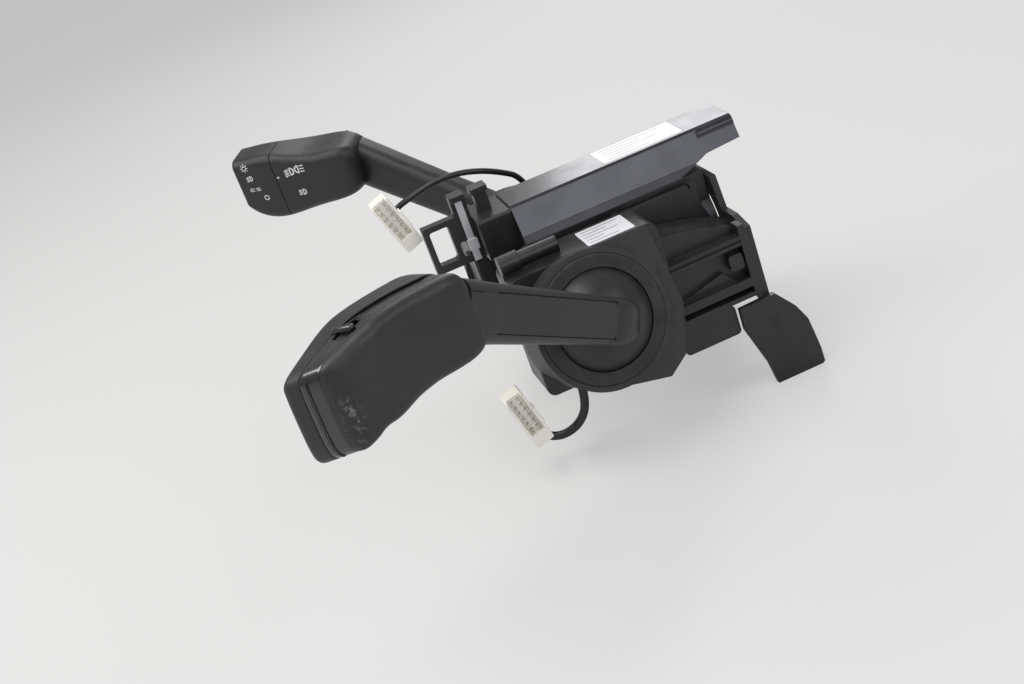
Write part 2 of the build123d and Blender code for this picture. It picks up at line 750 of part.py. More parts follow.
# ---------------------------------------------------------------- stalk heads
# stations of the heads: distance from the arm's end, lowest and highest n, lowest and highest w
heel_profile = (heel_start, 5 - head_front_depth, heel_bulge - 4, -8, 12)
right_head_profile = [
    heel_profile,
    (heel_station, -head_front_depth, heel_bulge, 1 - head_bottom, head_top - 2.5),
    (crown_station, -head_front_depth, heel_bulge - 1, -head_bottom, head_top),
    (waist_station, -head_front_depth, waist_depth, -head_bottom, head_top),
    (bend_station, -head_front_depth, waist_depth, -head_bottom - 3, head_top - 1),
    (taper_station, -head_front_depth, end_depth, -head_bottom - 8, head_top - 6.8),
    (head_length + 4, -head_front_depth, end_depth, -end_bottom, end_top),
]
left_head_profile = [
    heel_profile,
    (heel_station, -head_front_depth, heel_bulge, 1 - head_bottom, left_crown_top - 0.3),
    (crown_station, -head_front_depth, heel_bulge - 1, -head_bottom, left_crown_top + 0.5),
    (left_head_length, -head_front_depth, waist_depth, -head_bottom - 2, knob_top - 0.8),
    (left_head_length + 0.65 * knob_length, 1 - head_front_depth, 1, -head_bottom, knob_top - 0.3),
    (left_head_length + knob_length, 2 - head_front_depth, 0, -head_bottom / 2, knob_top),
]


def head_solid(profile, inset, drop):
    """Lofted body of a stalk head, drawn in by an inset; open-ended towards the tip."""
    stations = [(profile[0][0] + inset, *profile[0][1:]), *profile[1:]]
    with BuildPart() as solid:
        for station, low_n, high_n, low_w, high_w in stations:
            with BuildSketch(head_plane(station, drop)):
                with Locations(((low_n + high_n) / 2, (low_w + high_w) / 2)):
                    thickness = high_n - low_n - 2 * inset
                    height = high_w - low_w - 2 * inset
                    RectangleRounded(thickness, height, head_corner - inset)
        loft()
    return solid.part


def head_shell(profile, drop):
    """Hollow head with the socket for the arm."""
    with BuildPart() as solid:
        add(head_solid(profile, 0, drop))
        add(head_solid(profile, head_wall, drop), mode=Mode.SUBTRACT)
        add(arm_outer, mode=Mode.SUBTRACT)
    return solid.part


def board_posts(front_plane, middle, length):
    """Four posts on a head's front wall that carry its board."""
    with BuildPart() as posts:
        with BuildSketch(front_plane.offset(-head_front_depth + 1)):
            with Locations((middle, 0)):
                with GridLocations(length - 8, head_board_width - 6, 2, 2):
                    Circle(board_post_radius)
        extrude(amount=head_front_depth - 1 + head_board_level)
    return posts.part


head_frame = head_plane(0)
head_side_plane = Plane(origin=arm_end, x_dir=head_dir, z_dir=-head_back)
head_flat_plane = Plane(origin=arm_end, x_dir=head_dir, z_dir=head_back)
parting_origin = head_frame.from_local_coords((head_parting, 0, 0))
parting_plane = Plane(origin=parting_origin, x_dir=head_dir, z_dir=head_back)
end_normal = head_dir.rotate(Axis((0, 0, 0), head_frame.y_dir), end_slant)
end_plane = Plane(origin=head_frame.from_local_coords((-head_front_depth, 0, head_length)), z_dir=end_normal)
seam_plane = end_plane.offset(-end_cap_thickness)

slider_origin = head_frame.from_local_coords((slider_offset, head_top - 2.6, slider_station))
slider_normal = head_frame.y_dir.rotate(Axis((0, 0, 0), head_frame.x_dir), -slider_slope)
slider_plane = Plane(origin=slider_origin, x_dir=head_frame.x_dir, z_dir=slider_normal)
slot_length = slider_length + slider_travel + 2 * moving_gap

right_solid = head_solid(right_head_profile, 0, 0)
right_shell = head_shell(right_head_profile, 0)
with BuildPart() as slider_slot:
    with BuildSketch(slider_plane.offset(-slider_slot_depth)):
        with Locations((0, slider_travel / 2)):
            Rectangle(slider_width + 2 * moving_gap, slot_length)
    extrude(amount=slider_slot_depth + 5)

with BuildPart() as channel:
    with BuildSketch(head_side_plane.offset(-head_parting)):
        with BuildLine():
            floor = Spline(
                (heel_station - 3, head_top - 4.5 - channel_depth),
                (crown_station, head_top - channel_depth),
                (waist_station, head_top - channel_depth),
                (bend_station, head_top - 1 - channel_depth),
                (taper_station - 2, head_top - 6 - channel_depth),
            )
            above = 2 * head_top
            Polyline(floor @ 1, (taper_station - 2, above), (heel_station - 3, above), floor @ 0)
        make_face()
    extrude(amount=head_parting - 0.2)

with BuildPart() as slider_tray:
    with BuildSketch(slider_plane.offset(-slider_slot_depth - tray_floor)):
        with Locations((3, slider_travel / 2)):
            Rectangle(slider_width + 2 * moving_gap + 8, slot_length + 3)
    extrude(amount=slider_slot_depth + tray_floor - head_wall - seat_gap)
    add(head_solid(right_head_profile, head_wall / 2, 0), mode=Mode.INTERSECT)

with BuildPart() as right_head_front:
    add(right_shell)
    add(board_posts(head_flat_plane, head_board_middle, head_board_length))
    split(bisect_by=parting_plane, keep=Keep.BOTTOM)
    split(bisect_by=seam_plane, keep=Keep.BOTTOM)
    add(slider_slot.part, mode=Mode.SUBTRACT)
    add(slider_tray.part, mode=Mode.SUBTRACT)
save(right_head_front, "right_head_front")

with BuildPart() as right_head_back:
    add(right_shell)
    split(bisect_by=parting_plane, keep=Keep.TOP)
    split(bisect_by=seam_plane, keep=Keep.BOTTOM)
    add(channel.part, mode=Mode.SUBTRACT)
    add(slider_tray.part)
    add(slider_slot.part, mode=Mode.SUBTRACT)
save(right_head_back, "right_head_back")

with BuildPart() as right_end_cap:
    add(right_solid)
    split(bisect_by=end_plane, keep=Keep.BOTTOM)
    split(bisect_by=seam_plane, keep=Keep.TOP)
    fillet(right_end_cap.faces().sort_by(Axis(arm_end, end_normal))[-1].edges(), end_cap_rounding)
save(right_end_cap, "right_end_cap")

with BuildPart() as right_head_board:
    with BuildSketch(head_flat_plane.offset(head_board_level)):
        with Locations((head_board_middle, 0)):
            RectangleRounded(head_board_length, head_board_width, 1)
    extrude(amount=board_thickness)
save(right_head_board, "right_head_board")

with BuildPart() as right_slider:
    with BuildSketch(slider_plane.offset(-slider_slot_depth + moving_gap)):
        RectangleRounded(slider_width, slider_length, 1)
    extrude(amount=slider_slot_depth - moving_gap + slider_proud)
    with BuildSketch(slider_plane.offset(slider_proud)):
        with Locations(Location((0, -1), slider_rib_skew)):
            SlotOverall(slider_width - 3, 2 * slider_rib_radius)
    extrude(amount=slider_rib_radius)
    fillet(right_slider.faces().sort_by(Axis(slider_origin, slider_normal))[-1].edges(), 0.6)
save(right_slider, "right_slider")

# ---------------------------------------------------------------- left-hand head, drawn on the right and mirrored
left_solid = head_solid(left_head_profile, 0, left_head_drop)
left_shell = head_shell(left_head_profile, left_head_drop)
left_end = head_plane(left_head_length, left_head_drop)
knob_axis_plane = head_plane(0, left_head_drop)
left_flat_plane = Plane(origin=knob_axis_plane.origin, x_dir=head_dir, z_dir=head_back)
knob_x = head_parting + 2

with BuildPart() as bulkhead:
    add(left_solid)
    split(bisect_by=left_end.offset(-bulkhead_thickness), keep=Keep.TOP)
    split(bisect_by=left_end, keep=Keep.BOTTOM)


def left_half(keep, name):
    """One shell of the left-hand head with its half of the spindle's bulkhead."""
    with BuildPart() as half:
        add(left_shell)
        add(bulkhead.part)
        add(board_posts(left_flat_plane, left_board_middle, left_board_length))
        with BuildSketch(knob_axis_plane):
            with Locations((knob_x, 0)):
                Circle(knob_spindle_radius + running_fit)
        extrude(amount=head_length, mode=Mode.SUBTRACT)
        split(bisect_by=left_end, keep=Keep.BOTTOM)
        split(bisect_by=parting_plane, keep=keep)
    save_mirrored(half, name)


left_half(Keep.BOTTOM, "left_head_front")
left_half(Keep.TOP, "left_head_back")

with BuildPart() as left_end_knob:
    add(left_solid)
    split(bisect_by=left_end.offset(moving_gap), keep=Keep.TOP)
    fillet(left_end_knob.faces().sort_by(Axis(arm_end, head_dir))[-1].edges(), knob_rounding)
    with BuildSketch(left_end):
        with Locations((knob_x, 0)):
            Circle(knob_spindle_radius)
    extrude(amount=spindle_seat, mode=Mode.SUBTRACT)
save_mirrored(left_end_knob, "left_end_knob")

with BuildPart() as left_knob_spindle:
    with BuildSketch(left_end.offset(spindle_seat)):
        with Locations((knob_x, 0)):
            Circle(knob_spindle_radius)
    extrude(amount=-spindle_seat - bulkhead_thickness - spindle_tail)
    with BuildSketch(left_end.offset(-bulkhead_thickness - moving_gap)):
        with Locations((knob_x, 0)):
            Circle(knob_spindle_radius + spindle_flange)
    extrude(amount=-spindle_flange)
save_mirrored(left_knob_spindle, "left_knob_spindle")

with BuildPart() as left_head_board:
    with BuildSketch(left_flat_plane.offset(head_board_level)):
        with Locations((left_board_middle, 0)):
            RectangleRounded(left_board_length, head_board_width, 1)
    extrude(amount=board_thickness)
save_mirrored(left_head_board, "left_head_board")

# ---------------------------------------------------------------- end plate, legs and screws
end_plate_front = module_front_end + end_plate_thickness
screw_points = [(side * screw_x, z) for side in (-1, 1) for z in screw_heights]
with BuildPart() as end_plate:
    with BuildSketch(Plane.XZ.offset(-end_plate_front)):
        with BuildLine():
            Polyline(
                (-leg_inner_face, module_bottom),
                (-leg_inner_face, 6),
                (-screw_x - 4, end_plate_shoulder),
                (-carrier_radius - 3, end_plate_shoulder),
                (-carrier_radius, end_plate_top),
                (carrier_radius, end_plate_top),
                (carrier_radius + 3, end_plate_shoulder),
                (screw_x + 4, end_plate_shoulder),
                (leg_inner_face, 6),
                (leg_inner_face, module_bottom),
                close=True,
            )
        make_face()
        with Locations((-leg_inner_face + 4, module_bottom - 8), (leg_inner_face - 4, module_bottom - 8)):
            Rectangle(8, 22)
        Circle(column_bore_radius + end_plate_clearance, mode=Mode.SUBTRACT)
        with Locations(*screw_points):
            Circle(screw_radius, mode=Mode.SUBTRACT)
    extrude(amount=end_plate_thickness)
    with BuildSketch(Plane.XZ.offset(-end_plate_front)):
        with Locations(*screw_points):
            Circle(screw_head_radius + seat_gap)
    extrude(amount=screw_head_height, mode=Mode.SUBTRACT)
    with BuildSketch(Plane.XZ.offset(-module_front_end - tongue_thickness)):
        with Locations((-leg_inner_face, tongue_height), (leg_inner_face, tongue_height)):
            Rectangle(2 * leg_thickness, leg_slit_length - 2 * seat_gap)
    extrude(amount=tongue_thickness)
save(end_plate, "end_plate")

with BuildPart() as cowl_leg:
    with BuildSketch(Plane.YZ.offset(leg_inner_face)):
        with BuildLine():
            Polyline(
                (62, -28), (79.4, -27.5), (87.2, -37.2), (91.1, -45.2), (92.2, -52.4), (93.4, -61.4),
                (93.6, leg_bottom + 1), (92.4, leg_bottom), (70, leg_bottom), (68.2, -58.5), (61.8, -38.4),
                close=True,
            )
        make_face()
        with Locations((module_front_end + tongue_thickness / 2, tongue_height)):
            Rectangle(tongue_thickness + 2 * seat_gap, leg_slit_length, mode=Mode.SUBTRACT)
    extrude(amount=leg_thickness)
save_pair(cowl_leg, "cowl_leg")

with BuildPart() as bracket_screws:
    with BuildSketch(Plane.XZ.offset(-end_plate_front)):
        with Locations(*screw_points):
            Circle(screw_radius)
    extrude(amount=end_plate_thickness)
    with BuildSketch(Plane.XZ.offset(-end_plate_front)):
        with Locations(*screw_points):
            Circle(screw_head_radius)
    extrude(amount=screw_head_height)
save(bracket_screws, "bracket_screws")

# ---------------------------------------------------------------- leads and plugs
def cord(points, diameter, name):
    """Round lead of straight runs joined by tangent arcs."""
    stops = [Vector(*point) for point in points]
    runs = [b - a for a, b in zip(stops, stops[1:])]
    radii = [
        0.45 * min(a.length, b.length) / math.tan(math.radians(a.get_angle(b) / 2))
        for a, b in zip(runs, runs[1:])
    ]
    print(name, "bend radii", [round(radius, 1) for radius in radii])
    with BuildPart() as lead:
        with BuildLine():
            route = FilletPolyline(*stops, radius=radii)
        with BuildSketch(Plane(origin=route @ 0, z_dir=route % 0)):
            Circle(diameter / 2)
        sweep()
    print(name, "length", round(route.length, 1), "volume", round(lead.part.volume, 1))
    save(lead, name)


def plug_pieces(frame, name):
    """Multi-way plug whose pin face lies on a plane; local x is the plug's length."""
    with BuildPart() as body:
        with BuildSketch(frame):
            RectangleRounded(plug_length, plug_height, 1)
        extrude(amount=-plug_depth)
        with BuildSketch(frame):
            with Locations((-plug_pitch, 0)):
                Rectangle(6.2 * plug_pitch, plug_height - 2.4)
        extrude(amount=-plug_pocket, mode=Mode.SUBTRACT)
        with BuildSketch(frame.offset(-plug_depth / 2)):
            with Locations((0, plug_height / 2)):
                Rectangle(plug_length / 3, 1.6)
        extrude(amount=plug_depth / 2)
    save(body, name)
    with BuildPart() as pins:
        with BuildSketch(frame.offset(-plug_pocket)):
            with Locations((-plug_pitch, 0)):
                with GridLocations(plug_pitch, plug_pitch, 6, 2):
                    Rectangle(plug_pin_size, plug_pin_size)
        extrude(amount=plug_pocket - 1)
    save(pins, f"{name}_pins")


plug_pieces(Plane(origin=lower_plug_face, x_dir=lower_plug_length, z_dir=(1, 0, 0)), "lower_plug")
plug_pieces(Plane(origin=upper_plug_face, x_dir=upper_plug_length, z_dir=(1, 0, 0)), "upper_plug")
cord(lower_route, harness_diameter, "lower_harness")
cord(upper_route, lead_diameter, "upper_lead")
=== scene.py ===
import math

import bmesh
import bpy
from mathutils import Matrix, Vector


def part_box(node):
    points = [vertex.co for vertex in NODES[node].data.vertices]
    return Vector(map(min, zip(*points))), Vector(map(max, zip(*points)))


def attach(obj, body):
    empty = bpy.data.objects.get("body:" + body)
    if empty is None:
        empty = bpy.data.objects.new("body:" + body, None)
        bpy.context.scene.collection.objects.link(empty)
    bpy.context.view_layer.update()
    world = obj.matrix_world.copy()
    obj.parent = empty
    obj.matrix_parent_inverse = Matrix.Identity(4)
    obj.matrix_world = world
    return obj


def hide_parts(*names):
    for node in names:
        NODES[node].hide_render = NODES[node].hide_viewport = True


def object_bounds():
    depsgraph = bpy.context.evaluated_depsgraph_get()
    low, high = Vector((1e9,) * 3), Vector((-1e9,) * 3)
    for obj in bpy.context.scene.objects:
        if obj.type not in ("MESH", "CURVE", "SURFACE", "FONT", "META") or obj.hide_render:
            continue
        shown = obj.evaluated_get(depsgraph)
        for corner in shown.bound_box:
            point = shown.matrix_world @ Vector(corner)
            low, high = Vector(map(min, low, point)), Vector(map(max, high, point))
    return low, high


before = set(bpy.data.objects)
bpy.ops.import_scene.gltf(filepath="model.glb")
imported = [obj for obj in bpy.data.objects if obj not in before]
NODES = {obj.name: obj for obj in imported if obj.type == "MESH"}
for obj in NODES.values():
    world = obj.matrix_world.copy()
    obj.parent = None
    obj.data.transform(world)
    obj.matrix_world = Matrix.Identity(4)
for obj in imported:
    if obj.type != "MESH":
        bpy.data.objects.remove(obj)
cad_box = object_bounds()

MM = 0.001                    # metres in a millimetre
X = Vector((1, 0, 0))
Y = Vector((0, 1, 0))
Z = Vector((0, 0, 1))


# ---------------------------------------------------------------- node helpers
def link(tree, output, socket):
    tree.links.new(output, socket)


def node(tree, kind, sockets=None, **settings):
    """New node of a kind, with its settings and the plain values of its sockets."""
    new = tree.nodes.new(kind)
    for key, value in settings.items():
        setattr(new, key, value)
    for key, value in (sockets or {}).items():
        new.inputs[key].default_value = value
    return new


def math_node(tree, operation, a, b, clamp=False):
    """Result of an operation on two values, each a socket or a plain number."""
    new = node(tree, "ShaderNodeMath", operation=operation, use_clamp=clamp)
    for socket, value in zip(new.inputs, (a, b)):
        if isinstance(value, (int, float)):
            socket.default_value = value
        else:
            link(tree, value, socket)
    return new.outputs[0]


def multiply(tree, a, b, clamp=False):
    return math_node(tree, "MULTIPLY", a, b, clamp)


def add(tree, a, b, clamp=False):
    return math_node(tree, "ADD", a, b, clamp)


def subtract(tree, a, b):
    return math_node(tree, "SUBTRACT", a, b)


def remap(tree, source, low, high, to_low=0.0, to_high=1.0):
    """Value stretched from the range low..high to the range to_low..to_high."""
    new = node(tree, "ShaderNodeMapRange",
               {"From Min": low, "From Max": high, "To Min": to_low, "To Max": to_high})
    link(tree, source, new.inputs["Value"])
    return new.outputs["Result"]


def noise(tree, vector, scale, detail=3.0, roughness=0.55):
    new = node(tree, "ShaderNodeTexNoise", {"Scale": scale, "Detail": detail, "Roughness": roughness})
    link(tree, vector, new.inputs["Vector"])
    return new.outputs["Fac"]


def object_place(tree):
    """Place on the piece, in metres."""
    return node(tree, "ShaderNodeTexCoord").outputs["Object"]


def make_group(name, inputs, outputs):
    """Empty shader group with number sockets, and its input and output nodes."""
    tree = bpy.data.node_groups.new(name, "ShaderNodeTree")
    for title, value in inputs.items():
        socket = tree.interface.new_socket(name=title, in_out="INPUT", socket_type="NodeSocketFloat")
        socket.default_value = value
    for title in outputs:
        tree.interface.new_socket(name=title, in_out="OUTPUT", socket_type="NodeSocketFloat")
    return tree, node(tree, "NodeGroupInput"), node(tree, "NodeGroupOutput")


def use_group(tree, group, **values):
    """Group placed in a tree; an underscore in a value's name stands for a space."""
    new = node(tree, "ShaderNodeGroup", node_tree=group)
    for key, value in values.items():
        new.inputs[key.replace("_", " ")].default_value = value
    return new


def blend_colour(tree, factor, a, b):
    """Mix of two colours, each a socket or three plain numbers."""
    new = node(tree, "ShaderNodeMix", data_type="RGBA")
    link(tree, factor, new.inputs["Factor"])
    for socket, value in ((new.inputs["A"], a), (new.inputs["B"], b)):
        if isinstance(value, (tuple, list)):
            socket.default_value = (*value, 1.0)
        else:
            link(tree, value, socket)
    return new.outputs["Result"]


# ---------------------------------------------------------------- effects that the finishes share
GRAIN_SCALE = 2600.0          # texture scales are per metre
BLOTCH_SCALE = 70.0
BEVEL_SAMPLES = 4
WEAR_AND_HIGHLIGHT_RADIUS = 0.0006          # metres of an edge that rubbing and the painted edge highlight reach
ROUND_RADIUS = 0.0004         # metres, radius that softens each sharp edge
BUMP_DISTANCE = 0.0004        # metres


def grain_effect():
    """Fine moulded grain: a height for bump and a soft mask for gloss changes."""
    tree, given, made = make_group("moulded_grain", {"Grain Scale": GRAIN_SCALE, "Blotch Scale": 60.0},
                                   ["Height", "Blotch"])
    place = object_place(tree)
    fine = node(tree, "ShaderNodeTexNoise", {"Detail": 2.0})
    pebble = node(tree, "ShaderNodeTexVoronoi")
    blotch = node(tree, "ShaderNodeTexNoise", {"Detail": 4.0})
    for texture, scale in ((fine, "Grain Scale"), (pebble, "Grain Scale"), (blotch, "Blotch Scale")):
        link(tree, place, texture.inputs["Vector"])
        link(tree, given.outputs[scale], texture.inputs["Scale"])
    fine_part = multiply(tree, fine.outputs["Fac"], 0.6)
    pebble_part = multiply(tree, pebble.outputs["Distance"], 0.5)
    link(tree, add(tree, fine_part, pebble_part), made.inputs["Height"])
    link(tree, blotch.outputs["Fac"], made.inputs["Blotch"])
    return tree


def edge_wear_and_highlight_effect():
    """Mask of the corners, painted a little paler and glossier: partly wear that rubbing leaves, partly a
    painted edge highlight.
    """
    flat, corner = 0.985, 0.80             # cosine between the true and the rounded normal
    tree, given, made = make_group("rubbed_edges_and_painted_highlight", {"Amount": 0.5}, ["Mask"])
    bevel = node(tree, "ShaderNodeBevel", {"Radius": WEAR_AND_HIGHLIGHT_RADIUS}, samples=BEVEL_SAMPLES)
    geometry = node(tree, "ShaderNodeNewGeometry")
    cosine = node(tree, "ShaderNodeVectorMath", operation="DOT_PRODUCT")
    link(tree, bevel.outputs["Normal"], cosine.inputs[0])
    link(tree, geometry.outputs["Normal"], cosine.inputs[1])
    sharp = remap(tree, cosine.outputs["Value"], flat, corner)
    patches = remap(tree, noise(tree, object_place(tree), 260.0, 4.0), 0.35, 0.75)
    mask = multiply(tree, multiply(tree, sharp, patches), given.outputs["Amount"], True)
    link(tree, mask, made.inputs["Mask"])
    return tree


def dust_effect():
    """Dust that settles on faces looking up, in specks and a thin film."""
    tree, given, made = make_group("settled_dust", {"Film": 0.1, "Specks": 0.3}, ["Mask"])
    geometry = node(tree, "ShaderNodeNewGeometry")
    split = node(tree, "ShaderNodeSeparateXYZ")
    link(tree, geometry.outputs["Normal"], split.inputs[0])
    upward = remap(tree, split.outputs["Z"], -0.1, 0.9, 0.15, 1.0)
    place = object_place(tree)
    cloud = remap(tree, noise(tree, place, 130.0, 6.0, 0.7), 0.35, 0.8)
    dots = remap(tree, noise(tree, place, 1500.0, 2.0, 0.5), 0.68, 0.76)
    film = multiply(tree, cloud, given.outputs["Film"])
    specks = multiply(tree, multiply(tree, dots, cloud), given.outputs["Specks"])
    mask = multiply(tree, add(tree, film, specks), upward, True)
    link(tree, mask, made.inputs["Mask"])
    return tree


def scratch_effect():
    """Fine straight scratches left by handling, in two directions."""
    stretch = (1.0, 28.0, 28.0)            # a scratch is 28 times as long as it is wide
    tree, given, made = make_group("hairline_scratches", {"Amount": 0.3}, ["Mask"])
    place = object_place(tree)
    layers = []
    for turn, scale in ((0.5, 90.0), (1.9, 120.0)):
        mapping = node(tree, "ShaderNodeMapping",
                       {"Rotation": (turn, turn * 0.7, turn * 1.3), "Scale": stretch})
        link(tree, place, mapping.inputs["Vector"])
        layers.append(remap(tree, noise(tree, mapping.outputs["Vector"], scale, 1.0, 0.4), 0.745, 0.77))
    mask = multiply(tree, add(tree, layers[0], layers[1]), given.outputs["Amount"], True)
    link(tree, mask, made.inputs["Mask"])
    return tree


GRAIN = grain_effect()
EDGE_WEAR_AND_HIGHLIGHT = edge_wear_and_highlight_effect()
DUST = dust_effect()
SCRATCHES = scratch_effect()

# ---------------------------------------------------------------- finishes
GLOSS_SPREAD = 0.10           # how far the roughness wanders between blotches


def paler(colour, gain, lift):
    return tuple(min(1.0, c * gain + lift) for c in colour)


def plastic(name, colour, rough, grain=0.06, grain_scale=GRAIN_SCALE, film=0.1, specks=0.3, wear_and_highlight=0.5,
            scratches=0.2, coat=0.0, coat_rough=0.1, dark=0.75, spec=0.5, metal=0.0, wear_and_highlight_colour=None,
            dust_colour=(0.36, 0.34, 0.31)):
    """Moulded plastic, rubber or plain metal with grain, blotches, rubbed edges that also carry a painted
    edge highlight, dust and scratches.
    """
    material = bpy.data.materials.new(name)
    material.use_nodes = True
    tree = material.node_tree
    surface = tree.nodes["Principled BSDF"]
    grains = use_group(tree, GRAIN, Grain_Scale=grain_scale, Blotch_Scale=BLOTCH_SCALE)
    # edge: mask of the corners, for rubbed wear and for a painted edge highlight
    edge = use_group(tree, EDGE_WEAR_AND_HIGHLIGHT, Amount=wear_and_highlight).outputs["Mask"]
    dust = use_group(tree, DUST, Film=film, Specks=specks).outputs["Mask"]
    scratch = use_group(tree, SCRATCHES, Amount=scratches).outputs["Mask"]
    blotch = grains.outputs["Blotch"]

    shaded = tuple(c * dark for c in colour)
    base = blend_colour(tree, remap(tree, blotch, 0.3, 0.7), shaded, colour)
    # corners painted paler: partly rubbed wear, partly a painted edge highlight
    base = blend_colour(tree, edge, base, wear_and_highlight_colour or paler(colour, 2.2, 0.03))
    base = blend_colour(tree, multiply(tree, scratch, 0.5), base, paler(colour, 2, 0.06))
    base = blend_colour(tree, dust, base, dust_colour)
    link(tree, base, surface.inputs["Base Color"])

    glossiest = max(0.03, rough - GLOSS_SPREAD / 2)
    dullest = min(1.0, rough + GLOSS_SPREAD / 2)
    gloss = remap(tree, blotch, 0.3, 0.7, glossiest, dullest)
    gloss = subtract(tree, gloss, multiply(tree, edge, 0.12))
    gloss = add(tree, gloss, multiply(tree, scratch, 0.15))
    gloss = add(tree, gloss, multiply(tree, dust, 0.5), True)
    link(tree, gloss, surface.inputs["Roughness"])
    surface.inputs["Specular IOR Level"].default_value = spec
    surface.inputs["Metallic"].default_value = metal
    if coat:
        surface.inputs["Coat Weight"].default_value = coat
        surface.inputs["Coat Roughness"].default_value = coat_rough

    soft_edge = node(tree, "ShaderNodeBevel", {"Radius": ROUND_RADIUS}, samples=BEVEL_SAMPLES)
    bump = node(tree, "ShaderNodeBump", {"Strength": grain, "Distance": BUMP_DISTANCE})
    height = subtract(tree, grains.outputs["Height"], multiply(tree, scratch, 0.6))
    height = add(tree, height, multiply(tree, dust, 0.7))
    link(tree, height, bump.inputs["Height"])
    link(tree, soft_edge.outputs["Normal"], bump.inputs["Normal"])
    link(tree, bump.outputs["Normal"], surface.inputs["Normal"])
    return material


def add_scuff(material, centre, reach, colour):
    """Pale rubbed patch round a point, broken up by noise; the patch is taller than wide."""
    tree = material.node_tree
    surface = tree.nodes["Principled BSDF"]
    base = surface.inputs["Base Color"].links[0].from_socket
    place = object_place(tree)
    offset = node(tree, "ShaderNodeVectorMath", operation="SUBTRACT")
    link(tree, place, offset.inputs[0])
    offset.inputs[1].default_value = centre
    squash = node(tree, "ShaderNodeVectorMath", operation="MULTIPLY")
    link(tree, offset.outputs["Vector"], squash.inputs[0])
    squash.inputs[1].default_value = (1.0, 1.0, 0.42)
    distance = node(tree, "ShaderNodeVectorMath", operation="LENGTH")
    link(tree, squash.outputs["Vector"], distance.inputs[0])
    near = remap(tree, distance.outputs["Value"], reach, 0.3 * reach)
    patches = remap(tree, noise(tree, place, 420.0, 5.0, 0.7), 0.52, 0.66)
    mask = multiply(tree, near, patches, True)
    link(tree, blend_colour(tree, mask, base, colour), surface.inputs["Base Color"])


BLACK = (0.0125, 0.0122, 0.0128)
HEAD_BLACK = (0.0145, 0.0142, 0.0148)
MATERIALS = {
    "housing": plastic("housing_plastic", BLACK, 0.36, grain=0.05, film=0.08, specks=0.35, wear_and_highlight=0.6,
                       scratches=0.35),
    "carrier": plastic("carrier_plastic", (0.011, 0.011, 0.012), 0.42, grain=0.05),
    "cover": plastic("cover_plastic", (0.013, 0.0125, 0.016), 0.23, grain=0.02, film=0.05, specks=0.25,
                     scratches=0.45, coat=0.25, coat_rough=0.12),
    "collar": plastic("collar_plastic", (0.012, 0.012, 0.0125), 0.48, grain=0.08, wear_and_highlight=0.45),
    "ring": plastic("ring_rubber", (0.016, 0.016, 0.0165), 0.62, grain=0.10, grain_scale=1700.0,
                    film=0.14, specks=0.35, wear_and_highlight=0.35, spec=0.4),
    "arm": plastic("arm_plastic", (0.0135, 0.013, 0.0135), 0.40, grain=0.05, film=0.05, specks=0.2,
                   wear_and_highlight=0.4, scratches=0.25),
    "strip": plastic("strip_plastic", (0.0125, 0.012, 0.0125), 0.44, grain=0.07, film=0.05, specks=0.2,
                     wear_and_highlight=0.4),
    "head": plastic("head_plastic", HEAD_BLACK, 0.45, grain=0.13, grain_scale=2100.0, film=0.05,
                    specks=0.9, wear_and_highlight=0.4, scratches=0.3),
    "worn_head": plastic("worn_head_plastic", HEAD_BLACK, 0.45, grain=0.13, grain_scale=2100.0, film=0.06,
                         specks=1.0, wear_and_highlight=0.4, scratches=0.5),
    "spine": plastic("spine_plastic", (0.0115, 0.0112, 0.0118), 0.36, grain=0.05, specks=0.5, wear_and_highlight=0.45,
                     scratches=0.3, coat=0.2, coat_rough=0.25),
    "cap": plastic("gloss_cap", (0.009, 0.009, 0.0095), 0.2, grain=0.012, film=0.03, specks=0.45,
                   wear_and_highlight=0.45, scratches=0.7, coat=0.5, coat_rough=0.07),
    "latch": plastic("latch_plastic", BLACK, 0.34, grain=0.05, film=0.06),
    "steel": plastic("clip_steel", (0.66, 0.66, 0.67), 0.34, grain=0.04, film=0.03, specks=0.1, wear_and_highlight=0.2,
                     metal=0.6, dark=0.85, wear_and_highlight_colour=(0.8, 0.8, 0.8)),
    "pins": plastic("pin_metal", (0.62, 0.60, 0.54), 0.3, grain=0.02, film=0.0, specks=0.0, wear_and_highlight=0.1,
                    metal=1.0, wear_and_highlight_colour=(0.8, 0.8, 0.76)),
    "connector": plastic("connector_plastic", (0.90, 0.865, 0.78), 0.42, grain=0.05, film=0.02,
                         specks=0.1, wear_and_highlight=0.2, dark=0.95, wear_and_highlight_colour=(0.93, 0.90, 0.83)),
    "mechanism": plastic("mechanism_plastic", (0.62, 0.60, 0.55), 0.4, grain=0.05, film=0.02, specks=0.1,
                         wear_and_highlight=0.2, dark=0.92, wear_and_highlight_colour=(0.7, 0.68, 0.62)),
    "board": plastic("board_lacquer", (0.02, 0.11, 0.045), 0.32, grain=0.03, film=0.02, specks=0.1,
                     wear_and_highlight=0.3, coat=0.3),
    "wire": plastic("wire_sleeve", (0.012, 0.012, 0.012), 0.34, grain=0.04, film=0.04, specks=0.2,
                    wear_and_highlight=0.0, scratches=0.1),
    "label": plastic("label_film", (0.74, 0.745, 0.76), 0.38, grain=0.02, film=0.05, specks=0.15,
                     wear_and_highlight=0.0, dark=0.95, scratches=0.15, coat=0.15, dust_colour=(0.42, 0.41, 0.39)),
    "ink": plastic("label_ink", (0.10, 0.10, 0.11), 0.45, grain=0.02, film=0.05, specks=0.1, wear_and_highlight=0.0,
                   dark=0.8),
    # painted groove shade: near-black finish for the strips that stand in for the shadow in the grooves
    # beside the arm's strip
    "joint": plastic("painted_groove_shade", (0.003, 0.003, 0.003), 0.7, grain=0.03, film=0.02, specks=0.1,
                     wear_and_highlight=0.0, dark=0.8, spec=0.2),
    "mark": plastic("printed_mark", (0.74, 0.74, 0.75), 0.5, grain=0.05, film=0.03, specks=0.1, wear_and_highlight=0.0,
                    dark=0.85),
}

